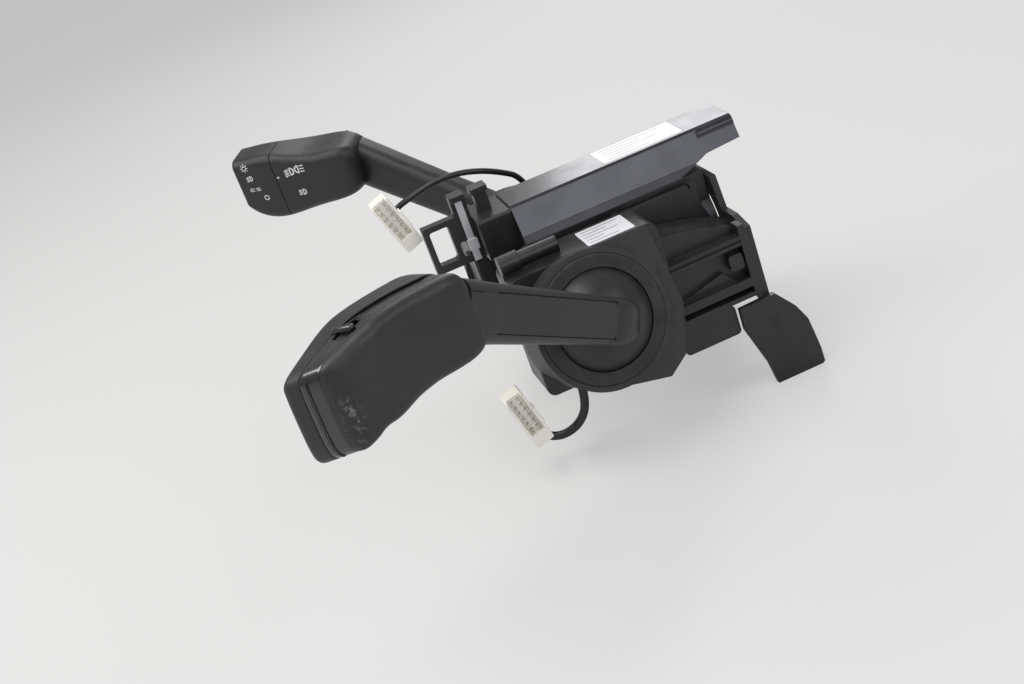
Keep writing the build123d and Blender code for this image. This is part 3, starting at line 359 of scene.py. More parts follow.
FINISH = {
    "carrier_frame": "carrier", "control_box_cover": "cover", "control_box_base": "housing",
    "control_board": "board", "socket_shroud": "housing", "socket_pins": "pins",
    "latch_bracket": "latch", "spring_clip": "steel", "end_plate": "carrier",
    "bracket_screws": "steel", "right_cowl_leg": "housing", "left_cowl_leg": "housing",
    "right_end_cap": "cap", "right_slider": "cap", "left_end_knob": "head",
    "left_knob_spindle": "mechanism", "upper_plug": "connector", "lower_plug": "connector",
    "upper_plug_pins": "pins", "lower_plug_pins": "pins", "upper_lead": "wire",
    "lower_harness": "wire",
}
PAIRED = {
    "switch_housing": "housing", "back_cover": "carrier", "collar": "collar", "seal_ring": "ring",
    "pivot_bracket": "mechanism", "detent_cam": "mechanism", "contact_board": "board",
    "contact_carriage": "mechanism", "rocker": "mechanism", "pull_pin": "steel",
    "pivot_block": "mechanism", "detent_plunger": "steel", "detent_spring": "steel",
    "stalk_arm": "arm", "arm_strip": "strip", "head_front": "head", "head_back": "head",
    "head_board": "board",
}
for stem, finish in PAIRED.items():
    FINISH["right_" + stem] = finish
    FINISH["left_" + stem] = finish
for name, obj in NODES.items():
    obj.data.materials.clear()
    obj.data.materials.append(MATERIALS[FINISH[name]])


# ---------------------------------------------------------------- mesh helpers
def add_object(name, data):
    obj = bpy.data.objects.new(name, data)
    bpy.context.scene.collection.objects.link(obj)
    return obj


def side_faces(rings, count):
    """Faces between rings of count points, each ring listed in the same order."""
    faces = []
    for ring in range(rings - 1):
        near, far = ring * count, (ring + 1) * count
        faces += [(near + i, near + (i + 1) % count, far + (i + 1) % count, far + i) for i in range(count)]
    return faces


def end_faces(rings, count):
    """Faces that close the first and the last ring."""
    return [tuple(range(count))[::-1], tuple(range((rings - 1) * count, rings * count))]


def new_piece(name, verts, faces, material, body, smooth=False):
    """Mesh piece that rides on a body, with its finish."""
    mesh = bpy.data.meshes.new(name)
    mesh.from_pydata([tuple(v) for v in verts], [], faces)
    mesh.validate()
    mesh.update()
    if smooth:
        mesh.shade_smooth()
    mesh.materials.append(MATERIALS[material])
    obj = add_object(name, mesh)
    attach(obj, body)
    return obj


PRISM_SUNK = 0.00005          # metres that a flat piece reaches into what it stands on


def prism(name, outline, origin, across, up, normal, depth, material, body):
    """Flat plate from a 2-D outline in metres, standing on a plane."""
    base = [origin + across * x + up * y - normal * PRISM_SUNK for x, y in outline]
    top = [origin + across * x + up * y + normal * depth for x, y in outline]
    faces = end_faces(2, len(outline)) + side_faces(2, len(outline))
    return new_piece(name, base + top, faces, material, body)


def rounded(width, height, radius, steps=5):
    """Outline of a rectangle with round corners."""
    points = []
    for cx, cy, start in ((1, 1, 0), (-1, 1, 90), (-1, -1, 180), (1, -1, 270)):
        for i in range(steps + 1):
            angle = math.radians(start + 90 * i / steps)
            points.append((cx * (width / 2 - radius) + radius * math.cos(angle),
                           cy * (height / 2 - radius) + radius * math.sin(angle)))
    return points


# ---------------------------------------------------------------- labels with plain ruled lines
LABEL_CORNER = 0.0008         # metres, as are the next three
LABEL_THICK = 0.00008
RULE_THICK = 0.00002
RULE_WIDTH, RULE_CORNER = 0.0005, 0.0002
RULE_LENGTHS = (0.78, 0.5, 0.7, 0.36, 0.62)    # shares of the label's width
RULE_INDENT = 0.42            # where a line starts, from the label's middle, in shares of its width
RULE_TOP, RULE_SPAN = 0.36, 0.72               # shares of the label's height


def ruled_label(name, centre, across, up, width, height):
    """Pale label with a few dark lines that start at its left edge."""
    prism(name, rounded(width, height, LABEL_CORNER), centre, across, up, Z, LABEL_THICK,
          "label", "column_unit")
    for row, share in enumerate(RULE_LENGTHS):
        y = height * (RULE_TOP - RULE_SPAN * row / (len(RULE_LENGTHS) - 1))
        length = width * share
        middle = centre + across * (-width * RULE_INDENT + length / 2) + up * y + Z * LABEL_THICK
        prism(f"{name}_rule_{row}", rounded(length, RULE_WIDTH, RULE_CORNER, 2), middle, across, up, Z,
              RULE_THICK, "ink", "column_unit")


box_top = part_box("control_box_cover")[1][2]
module_top = 26.0 * MM
ruled_label("box_label", Vector((-0.5 * MM, 54.5 * MM, box_top)), Y, -X, 0.039, 0.021)
ruled_label("module_label", Vector((38 * MM, 19 * MM, module_top)), Y, -X, 0.022, 0.020)

# ---------------------------------------------------------------- printed signs on the left-hand head
HEAD_DIR = Vector((-0.473, -0.880, 0.049)).normalized()
HEAD_BACK = Vector((-0.875, 0.475, 0.087)).normalized()
HEAD_UP = HEAD_BACK.cross(HEAD_DIR).normalized()
HEAD_FOOT = Vector((-134.5, -57.4, 54.4)) * MM - HEAD_UP * 3.0 * MM
INK_STEP = 0.8                # millimetres; dividing a side leaves no step shorter than this
INK_PROUD, INK_SUNK = 0.00004, 0.00003         # metres above and below the head's surface
LOOK_FROM = 30                # millimetres in front of the head, where the search for it starts
NO_SURFACE = 8                # millimetres from there to a point, where the search finds nothing


def divided(outline, scale):
    """Outline with points added, so that it can follow a curved surface."""
    points = []
    for a, b in zip(outline, outline[1:] + outline[:1]):
        steps = max(1, int(math.dist(a, b) * scale / INK_STEP))
        points += [(a[0] + (b[0] - a[0]) * t / steps, a[1] + (b[1] - a[1]) * t / steps)
                   for t in range(steps)]
    return points


def nearest_surface(start, targets):
    """First point of the target nodes behind a point in front of the head."""
    best = None
    for target in targets:
        hit, where, _, _ = NODES[target].ray_cast(start, HEAD_BACK)
        if hit and (best is None or (where - start).length < (best - start).length):
            best = where
    return best or start + HEAD_BACK * NO_SURFACE * MM


def printed(name, outlines, station, height, scale, targets, body):
    """Thin pale ink laid on the head's front; outlines are in icon units, x towards the arm and y up."""
    verts, faces = [], []
    for outline in outlines:
        points = divided(outline, scale)
        first = len(verts)
        for lift in (-INK_PROUD, INK_SUNK):
            for x, y in points:
                start = (HEAD_FOOT + HEAD_DIR * (station - x * scale) * MM
                         + HEAD_UP * (height + y * scale) * MM - HEAD_BACK * LOOK_FROM * MM)
                verts.append(nearest_surface(start, targets) - HEAD_BACK * lift)
        count = len(points)
        for face in end_faces(2, count)[1:] + side_faces(2, count):
            faces.append(tuple(first + corner for corner in face))
    return new_piece(name, verts, faces, "mark", body)


def arc_band(cx, cy, radius, thick, start, stop, steps=14):
    """Outline of an arc-shaped band."""
    angles = [math.radians(start + (stop - start) * i / steps) for i in range(steps + 1)]
    outer, inner = radius + thick / 2, radius - thick / 2
    band = [(cx + outer * math.cos(angle), cy + outer * math.sin(angle)) for angle in angles]
    band += [(cx + inner * math.cos(angle), cy + inner * math.sin(angle)) for angle in angles[::-1]]
    return band


def bar(x0, y0, x1, y1, thick):
    """Outline of a straight bar."""
    length = math.dist((x0, y0), (x1, y1))
    nx, ny = -(y1 - y0) / length * thick / 2, (x1 - x0) / length * thick / 2
    return [(x0 + nx, y0 + ny), (x0 - nx, y0 - ny), (x1 - nx, y1 - ny), (x1 + nx, y1 + ny)]


def lamp_icon(flip=1, slant=0.0, rays=4):
    """Round-backed lamp with rays on its flat side."""
    half_turn = (-90, 90) if flip > 0 else (90, 270)
    strokes = [arc_band(0.15 * flip, 0, 0.55, 0.22, *half_turn),
               bar(0.15 * flip, -0.6, 0.15 * flip, 0.6, 0.2)]
    for i in range(rays):
        y = 0.45 - 0.9 * i / (rays - 1)
        strokes.append(bar(-0.1 * flip, y, -0.75 * flip, y - slant, 0.17))
    return strokes


def sun_icon():
    """Small ring with eight rays."""
    strokes = [arc_band(0, 0, 0.5, 0.2, 0, 359)]
    for i in range(8):
        angle = math.radians(45 * i)
        strokes.append(bar(0.75 * math.cos(angle), 0.75 * math.sin(angle),
                           1.05 * math.cos(angle), 1.05 * math.sin(angle), 0.18))
    return strokes


FRONT = ("left_head_front", "left_head_back")
KNOB = ("left_end_knob",)
side_lamps = lamp_icon(1, 0.0, 3) + [[(x - 2.0, y) for x, y in stroke] for stroke in lamp_icon(-1, 0.0, 3)]
ring_icon = [arc_band(0, 0, 0.62, 0.24, 0, 359)]
pointer_icon = [[(-0.4, 0), (0.4, 0.3), (0.4, -0.3)]]
# name, outlines, station along the head, height on it, millimetres to an icon unit, nodes, body
SIGNS = [
    ("sign_fog_front", lamp_icon(1, 0.25), 25.7, 9.9, 3.5, FRONT, "left_stalk"),
    ("sign_fog_rear", lamp_icon(-1, 0.0, 3), 19.8, 10.4, 3.5, FRONT, "left_stalk"),
    ("sign_beam", lamp_icon(1, 0.0), 22.7, -2.5, 2.7, FRONT, "left_stalk"),
    ("sign_off", ring_icon, 43.4, -1.7, 2.0, KNOB, "left_knob_body"),
    ("sign_side_lamps", side_lamps, 46.3, 3.7, 1.7, KNOB, "left_knob_body"),
    ("sign_main_lamps", lamp_icon(1, 0.25), 48.8, 10.2, 2.4, KNOB, "left_knob_body"),
    ("sign_auto", sun_icon(), 49.7, 16.3, 2.2, KNOB, "left_knob_body"),
    ("knob_pointer", pointer_icon, 33.0, 8.0, 2.0, FRONT, "left_stalk"),
]
for sign in SIGNS:
    printed(*sign)

# ---------------------------------------------------------------- right-hand head
# The head's own frame: s along the head from the arm's end, n towards its back, w up.
GRIP_DIR = Vector((0.473, -0.880, 0.049)).normalized()
GRIP_BACK = Vector((0.875, 0.475, 0.087))
GRIP_BACK = (GRIP_BACK - GRIP_DIR * GRIP_BACK.dot(GRIP_DIR)).normalized()
GRIP_UP = GRIP_DIR.cross(GRIP_BACK)
PIVOT = Vector((54.3, -1.3, -2.7))
DOME_AXIS = Vector((0.962, 0.120, 0.2455)).normalized()
NECK_HEIGHT = 31.0            # from the pivot to where the arm starts
ARM_END = Vector((134.5, -57.4, 54.4)) * MM
ARM_DIR = (ARM_END - (PIVOT + DOME_AXIS * NECK_HEIGHT) * MM).normalized()
FRONT_FACE = -22.0            # n of the front face
END_LEAN = math.tan(math.radians(20.0))
END_RISE = 0.18               # how much the end climbs towards the back
LEAN_START, LEAN_END = 46.0, 66.0
SIDE_CROWN = 0.5              # how far the middle of a side stands above its edges
BACK_ROUND, FRONT_ROUND = 4.2, 4.0             # radius of the edge round each side
SHELL_WALL, SPINE_WALL = 1.6, 3.4
SEAM_GAP = 0.10               # half the width of a seam
SEAM_DEPTH = 0.8
SEAM_EDGE = 0.35              # rounded edge beside a seam
HEAD_MIDDLE = (40, -7, 3)     # a place inside the head

# side view of the head at its front face, clockwise from the heel
GRIP_OUTLINE = [
    (4.0, 9.0), (4.5, 14.5), (6.8, 18.4), (11.0, 20.2), (18.0, 20.6), (26.0, 20.7), (34.0, 20.6),
    (42.0, 20.0), (47.5, 18.8), (53.0, 16.8), (60.0, 13.7), (66.0, 11.0), (69.6, 9.1), (71.6, 6.9),
    (72.2, 3.5), (72.4, -4.0), (72.4, -12.0), (72.1, -18.5), (71.2, -22.2), (69.2, -23.9), (66.0, -23.0),
    (61.5, -20.6), (55.0, -17.9), (50.0, -16.3), (44.0, -14.6), (37.0, -12.8), (28.0, -11.9),
    (18.0, -11.8), (11.0, -11.2), (7.0, -9.6), (4.7, -6.5), (4.0, 0.0),
]
# n of the back face and of the spine's two seams, by station s
BACK_FACE = [(4, 10.9), (8, 11.4), (14, 11.3), (20, 10.5), (28, 9.2), (36, 8.8), (45, 8.6), (52, 7.2),
             (58, 4.7), (62, 2.7), (68, 0.6)]
SPINE_BACK_SEAM = [(4, 4.0), (30, 4.2), (45, 3.9), (56, 3.0), (61, 0.6), (64, -1.2), (75, -2.2)]
SPINE_FRONT_SEAM = [(4, -4.0), (14, -4.5), (24, -7.0), (45, -8.2), (56, -10.5), (68, -12.5), (75, -13.0)]
# w of the middle of a side, by station s: the rings of a side close in on this line
SIDE_MIDDLE = [(17, 4.6), (33, 4.4), (46, 2.0), (60, -4.0)]


def between(table, value):
    """Value of a table at a station, by straight lines between its rows."""
    if value <= table[0][0]:
        return table[0][1]
    for (a, ya), (b, yb) in zip(table, table[1:]):
        if value <= b:
            return ya + (yb - ya) * (value - a) / (b - a)
    return table[-1][1]


def ease(low, high, value):
    """Smooth step from 0 at low to 1 at high."""
    t = max(0.0, min(1.0, (value - low) / (high - low)))
    return t * t * (3 - 2 * t)


def closed_curve(points, steps):
    """Smooth closed curve through the points, in steps from each to the next."""
    curve = []
    count = len(points)
    for i in range(count):
        a, b, c, d = (Vector(points[(i + k) % count]) for k in (-1, 0, 1, 2))
        for j in range(steps):
            t = j / steps
            curve.append(0.5 * (2 * b + (c - a) * t + (2 * a - 5 * b + 4 * c - d) * t * t
                                + (3 * b - a - 3 * c + d) * t ** 3))
    return curve


def grip_point(s, n, w):
    """Point of the head in the part's frame, with the slanted end."""
    lean = ease(LEAN_START, LEAN_END, s) * (n - FRONT_FACE)
    along = GRIP_DIR * (s - lean * END_LEAN)
    return ARM_END + (along + GRIP_BACK * n + GRIP_UP * (w + lean * END_RISE)) * MM


def leaned(s, n):
    """Station that a point has once the end is slanted."""
    return s - ease(LEAN_START, LEAN_END, s) * (n - FRONT_FACE) * END_LEAN


SCUFF_PLACE = (70.2, 1.2, -12.5)
SCUFF_REACH = 0.0048          # metres
add_scuff(MATERIALS["worn_head"], grip_point(*SCUFF_PLACE), SCUFF_REACH, (0.17, 0.16, 0.145))

rim = closed_curve(GRIP_OUTLINE, 5)
RIM = len(rim)
rim_inward = []
for i in range(RIM):
    along = (rim[(i + 1) % RIM] - rim[i - 1]).normalized()
    rim_inward.append(Vector((along.y, -along.x)))

EDGE_STEPS = 7                # steps round the edge of a side
FACE_STEPS = 5                # steps from the edge towards the middle of a side
FACE_SPAN = 5.5               # steps that would reach the middle itself
LAST_SHARE = 0.995            # the last ring stops this share of the way to the middle
LEAST_SQUARE = 0.35           # limit where the way to the middle runs along the rim


def cap_rings(sign, radius, face_of):
    """Rings of the rounded edge and the face of one side; sign is +1 at the back and -1 at the front."""
    rings = []
    for step in range(EDGE_STEPS + FACE_STEPS + 1):
        ring = []
        for start, inward in zip(rim, rim_inward):
            s_mid = max(SIDE_MIDDLE[0][0], min(SIDE_MIDDLE[-1][0], start.x))
            run = Vector((s_mid, between(SIDE_MIDDLE, s_mid))) - start
            square = max(LEAST_SQUARE, run.normalized().dot(inward))
            edge_share = radius / (run.length * square)
            if step <= EDGE_STEPS:
                angle = math.radians(90 * step / EDGE_STEPS)
                share = radius * (1 - math.cos(angle)) / (run.length * square)
                rise = radius * math.sin(angle)
            else:
                share = edge_share + (1 - edge_share) * (step - EDGE_STEPS) / FACE_SPAN
                rise = radius
            place = start + run * min(share, LAST_SHARE)
            crown = SIDE_CROWN * (1 - max(0.0, share - edge_share))
            ring.append((place.x, face_of(place.x) - sign * (radius - rise + crown), place.y))
        rings.append(ring)
    return rings


def back_face(s):
    return between(BACK_FACE, leaned(s, 4.0))


def front_face(s):
    """The front face curves back at the heel."""
    return FRONT_FACE + 3.5 * (1 - ease(4.0, 16.0, s))


def back_edge(s):
    """Where the rounded edge of the back shell starts."""
    return back_face(s) - BACK_ROUND - SIDE_CROWN


def back_seam(s):
    return min(between(SPINE_BACK_SEAM, leaned(s, 2.0)), back_edge(s) - 1.0)


def front_seam(s):
    return between(SPINE_FRONT_SEAM, leaned(s, -9.0))


def channel(s, w):
    """Depth of the spine's channel: deepest on top near the heel, shallow before the end."""
    return 0.15 + 1.05 * (1 - ease(36.0, 56.0, s)) * ease(0.0, 12.0, w) * ease(6.0, 14.0, s)


def seam_column(n_of, depth):
    """One line of points round the rim at a given n, sunk by a depth or by what depth gives there."""
    column = []
    for start, inward in zip(rim, rim_inward):
        s, w = start
        sunk = start + inward * (depth(s, w) if callable(depth) else depth)
        column.append((sunk.x, n_of(s), sunk.y))
    return column


def seam_edge(seam, sign):
    """Columns from the bottom of a seam up to the surface beside it."""
    return [seam_column(lambda s: seam(s) + sign * SEAM_GAP, SEAM_DEPTH),
            seam_column(lambda s: seam(s) + sign * SEAM_GAP, 0.12),
            seam_column(lambda s: seam(s) + sign * (SEAM_GAP + 0.5 * SEAM_EDGE), 0.02),
            seam_column(lambda s: seam(s) + sign * (SEAM_GAP + SEAM_EDGE), 0.0)]


def grip_shell(name, columns, finishes, thick, closed=False, finish_of=None):
    """Shell through columns of points round the rim, given a wall towards the inside."""
    verts = [grip_point(*place) for column in columns for place in column]
    faces = side_faces(len(columns), RIM)
    if closed:
        faces += end_faces(len(columns), RIM)[1:]
    piece = new_piece(name, verts, faces, finishes[0], "right_stalk", smooth=True)
    for extra in finishes[1:]:
        piece.data.materials.append(MATERIALS[extra])
    bm = bmesh.new()
    bm.from_mesh(piece.data)
    bm.faces.ensure_lookup_table()
    probe = bm.faces[(len(columns) // 2) * RIM + RIM // 3]
    if (probe.calc_center_median() - grip_point(*HEAD_MIDDLE)).dot(probe.normal) < 0:
        bmesh.ops.reverse_faces(bm, faces=bm.faces)
    if finish_of:
        for index, face in enumerate(bm.faces):
            face.material_index = finish_of(*rim[index % RIM])
    bmesh.ops.triangulate(bm, faces=[f for f in bm.faces if len(f.verts) > 4])
    bm.to_mesh(piece.data)
    bm.free()
    piece.data.shade_smooth()
    wall = piece.modifiers.new("wall", "SOLIDIFY")
    wall.thickness = thick * MM
    wall.offset = -1.0
    return piece


back_columns = seam_edge(back_seam, 1)
back_columns.append(seam_column(lambda s: 0.5 * (back_seam(s) + SEAM_EDGE + back_edge(s)), 0.0))
back_columns += cap_rings(1, BACK_ROUND, back_face)
back_shell = grip_shell("right_head_back_shell", back_columns, ["worn_head"], SHELL_WALL, True)


def front_column(share):
    """Column on the front shell, a share of the way from the seam to the rounded edge."""
    return seam_column(lambda s: (1 - share) * (front_seam(s) - SEAM_EDGE)
                       + share * (front_face(s) + FRONT_ROUND + SIDE_CROWN), 0.0)


front_columns = seam_edge(front_seam, -1) + [front_column(0.3), front_column(0.65)]
front_columns += cap_rings(-1, FRONT_ROUND, front_face)
front_shell = grip_shell("right_head_front_shell", front_columns, ["head"], SHELL_WALL, True)

GLOSS_START, GLOSS_TOP = 63.0, 12.4            # the spine is glossy past this s and below this w


def spine_column(share, extra):
    """Column on the spine, a share of the way from its front seam to its back seam."""
    return seam_column(lambda s: (1 - share) * (front_seam(s) + SEAM_GAP) + share * (back_seam(s) - SEAM_GAP),
                       lambda s, w: channel(s, w) + extra)


def spine_finish(s, w):
    """Index of the finish: plain on top, glossy over the end."""
    return 1 if s > GLOSS_START and w < GLOSS_TOP else 0


spine_columns = [spine_column(0.0, SEAM_DEPTH), spine_column(0.0, 0.1), spine_column(0.02, 0.0)]
spine_columns += [spine_column(k / 6, 0.0) for k in range(1, 6)]
spine_columns += [spine_column(0.98, 0.0), spine_column(1.0, 0.1), spine_column(1.0, SEAM_DEPTH)]
spine = grip_shell("right_head_spine", spine_columns, ["spine", "cap"], SPINE_WALL, False, spine_finish)
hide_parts("right_head_back")
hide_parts("right_head_front")
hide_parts("right_end_cap")

# ---------------------------------------------------------------- slider and its slot in the spine
SLOT = [(38.4, 1.7), (39.0, -6.9), (53.4, -7.4), (53.0, 1.2)]      # corners as s and n
SLOT_DEPTH = 2.6
SLOT_REACH = 6.0              # how far the slot's cutter stands out of the surface
SLOT_SLOPE = math.radians(20.0)
SLIDER_ALONG = (-GRIP_DIR * math.cos(SLOT_SLOPE) + GRIP_UP * math.sin(SLOT_SLOPE)).normalized()
SLIDER_OUT = (GRIP_UP * math.cos(SLOT_SLOPE) + GRIP_DIR * math.sin(SLOT_SLOPE)).normalized()
SLIDER_SEAT = (49.5, -3.2, 18.15)              # s, n and w of the slider at rest


def slider_place(along, across, out):
    """Point beside the slider: along its travel, across the head and out of the surface."""
    s, n, w = SLIDER_SEAT
    seat = ARM_END + (GRIP_DIR * s + GRIP_BACK * n + GRIP_UP * w) * MM
    return seat + (SLIDER_ALONG * along + GRIP_BACK * across + SLIDER_OUT * out) * MM


def cutter(outline, depth, reach):
    """Block that stands through the surface, with an outline given as s and n."""
    verts = [slider_place((SLIDER_SEAT[0] - s) / math.cos(SLOT_SLOPE), n - SLIDER_SEAT[1], out)
             for out in (-depth, reach) for s, n in outline]
    faces = end_faces(2, len(outline)) + side_faces(2, len(outline))
    mesh = bpy.data.meshes.new("slot_cutter")
    mesh.from_pydata([tuple(v) for v in verts], [], faces)
    bm = bmesh.new()
    bm.from_mesh(mesh)
    bmesh.ops.recalc_face_normals(bm, faces=bm.faces)
    bm.to_mesh(mesh)
    bm.free()
    return add_object("slot_cutter", mesh)


def cut(piece, tool):
    """Take the tool's shape out of a piece and keep only the result."""
    step = piece.modifiers.new("cut", "BOOLEAN")
    step.operation = "DIFFERENCE"
    step.solver = "EXACT"
    step.object = tool
    bpy.context.view_layer.update()
    finished = piece.evaluated_get(bpy.context.evaluated_depsgraph_get())
    result = bpy.data.meshes.new_from_object(finished)
    piece.modifiers.clear()
    piece.data = result
    bpy.data.objects.remove(tool)


cut(spine, cutter(SLOT, SLOT_DEPTH, SLOT_REACH))

BAR_SIDES = 20


def slider_bar(name, start, end, sections):
    """Rounded glossy bar from start to end; sections are (share of length, half width, height)."""
    axis = (end - start).normalized()
    side = SLIDER_OUT.cross(axis).normalized()
    verts = []
    for share, half, height in sections:
        middle = start.lerp(end, share)
        for k in range(BAR_SIDES):
            angle = 2 * math.pi * k / BAR_SIDES
            verts.append(middle + side * half * math.cos(angle) * MM
                         + SLIDER_OUT * height * math.sin(angle) * MM)
    faces = side_faces(len(sections), BAR_SIDES) + end_faces(len(sections), BAR_SIDES)
    return new_piece(name, verts, faces, "cap", "right_slider_body", smooth=True)


RIB = 1.35                    # half width and half height of the rib that the thumb moves
RIB_SECTIONS = [(0.0, 0.25 * RIB, 0.3 * RIB), (0.02, 0.65 * RIB, 0.7 * RIB), (0.06, 0.9 * RIB, 0.93 * RIB),
                (0.11, RIB, RIB), (0.5, 1.03 * RIB, 1.04 * RIB), (0.89, RIB, RIB),
                (0.94, 0.9 * RIB, 0.93 * RIB), (0.98, 0.65 * RIB, 0.7 * RIB), (1.0, 0.25 * RIB, 0.3 * RIB)]
WEB_SECTIONS = [(0.0, 0.6, 1.2), (0.05, 0.8, 1.4), (0.95, 0.8, 1.4), (1.0, 0.6, 1.2)]
PLATE_OUTLINE = [(3.2, 3.8), (3.3, -3.2), (-3.2, -3.6), (-3.2, 3.9)]       # along and across the travel
PLATE_BOTTOM, PLATE_TOP = -2.2, -0.9
PLATE_EDGE = 0.35             # width of its softened edges

rib = slider_bar("right_slider_rib", slider_place(-0.6, -6.4, 0.3), slider_place(1.8, 4.1, 0.3), RIB_SECTIONS)
plate_verts = [slider_place(a, n, out) for out in (PLATE_BOTTOM, PLATE_TOP) for a, n in PLATE_OUTLINE]
plate_faces = [(0, 1, 2, 3), (7, 6, 5, 4), (0, 4, 5, 1), (1, 5, 6, 2), (2, 6, 7, 3), (3, 7, 4, 0)]
plate = new_piece("right_slider_plate", plate_verts, plate_faces, "spine", "right_slider_body")
soften = plate.modifiers.new("soft", "BEVEL")
soften.width = PLATE_EDGE * MM
soften.segments = 3
slider_bar("right_slider_web", slider_place(0.9, -3.0, -0.6), slider_place(1.6, 2.6, -0.6), WEB_SECTIONS)
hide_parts("right_slider")

# ---------------------------------------------------------------- arms: socket end and painted groove shadows
ARM_FACE = (GRIP_BACK - ARM_DIR * GRIP_BACK.dot(ARM_DIR)).normalized()
ARM_SIDE = ARM_DIR.cross(ARM_FACE).normalized()
ARM_THICK, THICK_TAPER = 16.5, 0.006           # size at SECTION_AT, and growth per millimetre
ARM_HIGH, HIGH_TAPER = 22.6, 0.038
SECTION_AT = 6.0              # distance past the arm's end at which those sizes hold
ARM_CORNER = 6.0
SOCKET_PROUD = 0.05           # how far the socket stands over the arm
SOCKET_FLARE = 0.25
SOCKET_STATIONS = (-6.4, -3.0, 0.0, 3.0, 6.0, 9.0, 12.0)
STRIP_HALF = 7.25             # half the width of the strip let into the arm's face
GROOVE = 0.17                 # half the width of the line beside the strip
GROOVE_DEPTH = 0.55
GROOVE_PROFILE = ((-GROOVE, 0.0), (-0.6 * GROOVE, GROOVE_DEPTH), (0.6 * GROOVE, GROOVE_DEPTH), (GROOVE, 0.0))


def socket_outline(distance):
    """Section of the arm's socket end, with the two strip lines carried on to the heel."""
    half_thick = (ARM_THICK + THICK_TAPER * (distance - SECTION_AT)) / 2 + SOCKET_PROUD
    half_high = ((ARM_HIGH + HIGH_TAPER * (distance - SECTION_AT)) / 2 + SOCKET_PROUD
                 + SOCKET_FLARE * ease(-6.0, 8.0, distance))
    points = []
    for cx, cy, start in ((1, 1, 0), (-1, 1, 90), (-1, -1, 180), (1, -1, 270)):
        turns = [(start + 90 * k / 8, 0.0) for k in range(9)]
        if cx > 0:
            for offset, sunk in GROOVE_PROFILE:
                lift = (STRIP_HALF + offset - (half_high - ARM_CORNER)) / ARM_CORNER
                angle = math.degrees(math.asin(lift))
                turns.append((angle if cy > 0 else 360 - angle, sunk))
            turns.sort()
        for angle, sunk in turns:
            radius = ARM_CORNER - sunk
            points.append((cx * (half_thick - ARM_CORNER) + radius * math.cos(math.radians(angle)),
                           cy * (half_high - ARM_CORNER) + radius * math.sin(math.radians(angle))))
    return points


socket_verts = []
for distance in SOCKET_STATIONS:
    for x, y in socket_outline(distance):
        socket_verts.append(ARM_END + (ARM_DIR * distance + ARM_FACE * x + ARM_SIDE * y) * MM)
around = len(socket_verts) // len(SOCKET_STATIONS)
socket_faces = side_faces(len(SOCKET_STATIONS), around) + end_faces(len(SOCKET_STATIONS), around)
new_piece("right_arm_socket", socket_verts, socket_faces, "arm", "right_stalk")

# each line is a thin dark strip, a painted shadow in the groove beside the arm's strip
LINE_LENGTH = 76.0
LINE_END = 6.4                # twice the distance from the arm's end to the near end of a line
LINE_HALF = 0.2               # half its width
LINE_BESIDE = 0.1             # distance of its middle from the strip's edge
LINE_SEAT, LINE_DEPTH = 7.2, 0.84              # its foot above the arm's middle, and its height


def painted_groove_shadows(side, end, along, face, across):
    """Dark strips laid on the arm that paint the shadow in the grooves between the arm and the strip let into
    it.
    """
    half = LINE_LENGTH / 2
    outline = [(-half * MM, -LINE_HALF * MM), (half * MM, -LINE_HALF * MM),
               (half * MM, LINE_HALF * MM), (-half * MM, LINE_HALF * MM)]
    for edge, sign in (("upper", 1), ("lower", -1)):
        middle = end + (along * (-LINE_LENGTH - LINE_END) / 2 + across * sign * (STRIP_HALF + LINE_BESIDE)
                        + face * LINE_SEAT) * MM
        prism(f"{side}_groove_shadow_{edge}", outline, middle, along, across, face, LINE_DEPTH * MM,
              "joint", f"{side}_stalk")


painted_groove_shadows("right", ARM_END, ARM_DIR, ARM_FACE, ARM_SIDE)
MIRROR = Vector((-1, 1, 1))
painted_groove_shadows("left", ARM_END * MIRROR, ARM_DIR * MIRROR, ARM_FACE * MIRROR, ARM_SIDE * MIRROR)


# ---------------------------------------------------------------- leads
def cord_piece(name, points, diameter, material):
    """Lead along a smooth line that has the route's points as its control points."""
    curve = bpy.data.curves.new(name, "CURVE")
    curve.dimensions = "3D"
    curve.bevel_depth = diameter / 2
    curve.bevel_resolution = 5
    curve.resolution_u = 12
    curve.use_fill_caps = True
    spline = curve.splines.new("NURBS")
    spline.points.add(len(points) - 1)
    for point, place in zip(spline.points, points):
        point.co = (*[c * MM for c in place], 1.0)
    spline.order_u = 3
    spline.use_endpoint_u = True
    curve.materials.append(MATERIALS[material])
    obj = add_object(name, curve)
    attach(obj, "column_unit")
    return obj


UPPER_ROUTE = [(-40, 10, 26), (-39, 7, 38), (-35, -2, 45), (-31, -12, 51), (-30, -23, 54.5),
               (-31, -34, 54.5), (-32, -45, 52), (-30, -56, 50), (-21, -59, 49)]
LOWER_ROUTE = [(43, -14, -31), (43, -14, -43), (40, -20, -54), (36, -31, -58), (32, -40, -51),
               (32, -42, -41), (38, -41, -36)]
upper = cord_piece("upper_lead_wire", UPPER_ROUTE, 0.0028, "wire")
lower = cord_piece("lower_harness_wire", LOWER_ROUTE, 0.004, "wire")
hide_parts("upper_lead")
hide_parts("lower_harness")


# ---------------------------------------------------------------- stage, light and camera
def camera_ray_mix(tree, output, factor, others, seen):
    """Shader that blends into seen where the camera looks straight at it."""
    mix = node(tree, "ShaderNodeMixShader")
    link(tree, factor, mix.inputs["Fac"])
    link(tree, others, mix.inputs[1])
    link(tree, seen, mix.inputs[2])
    link(tree, mix.outputs["Shader"], tree.nodes[output].inputs["Surface"])


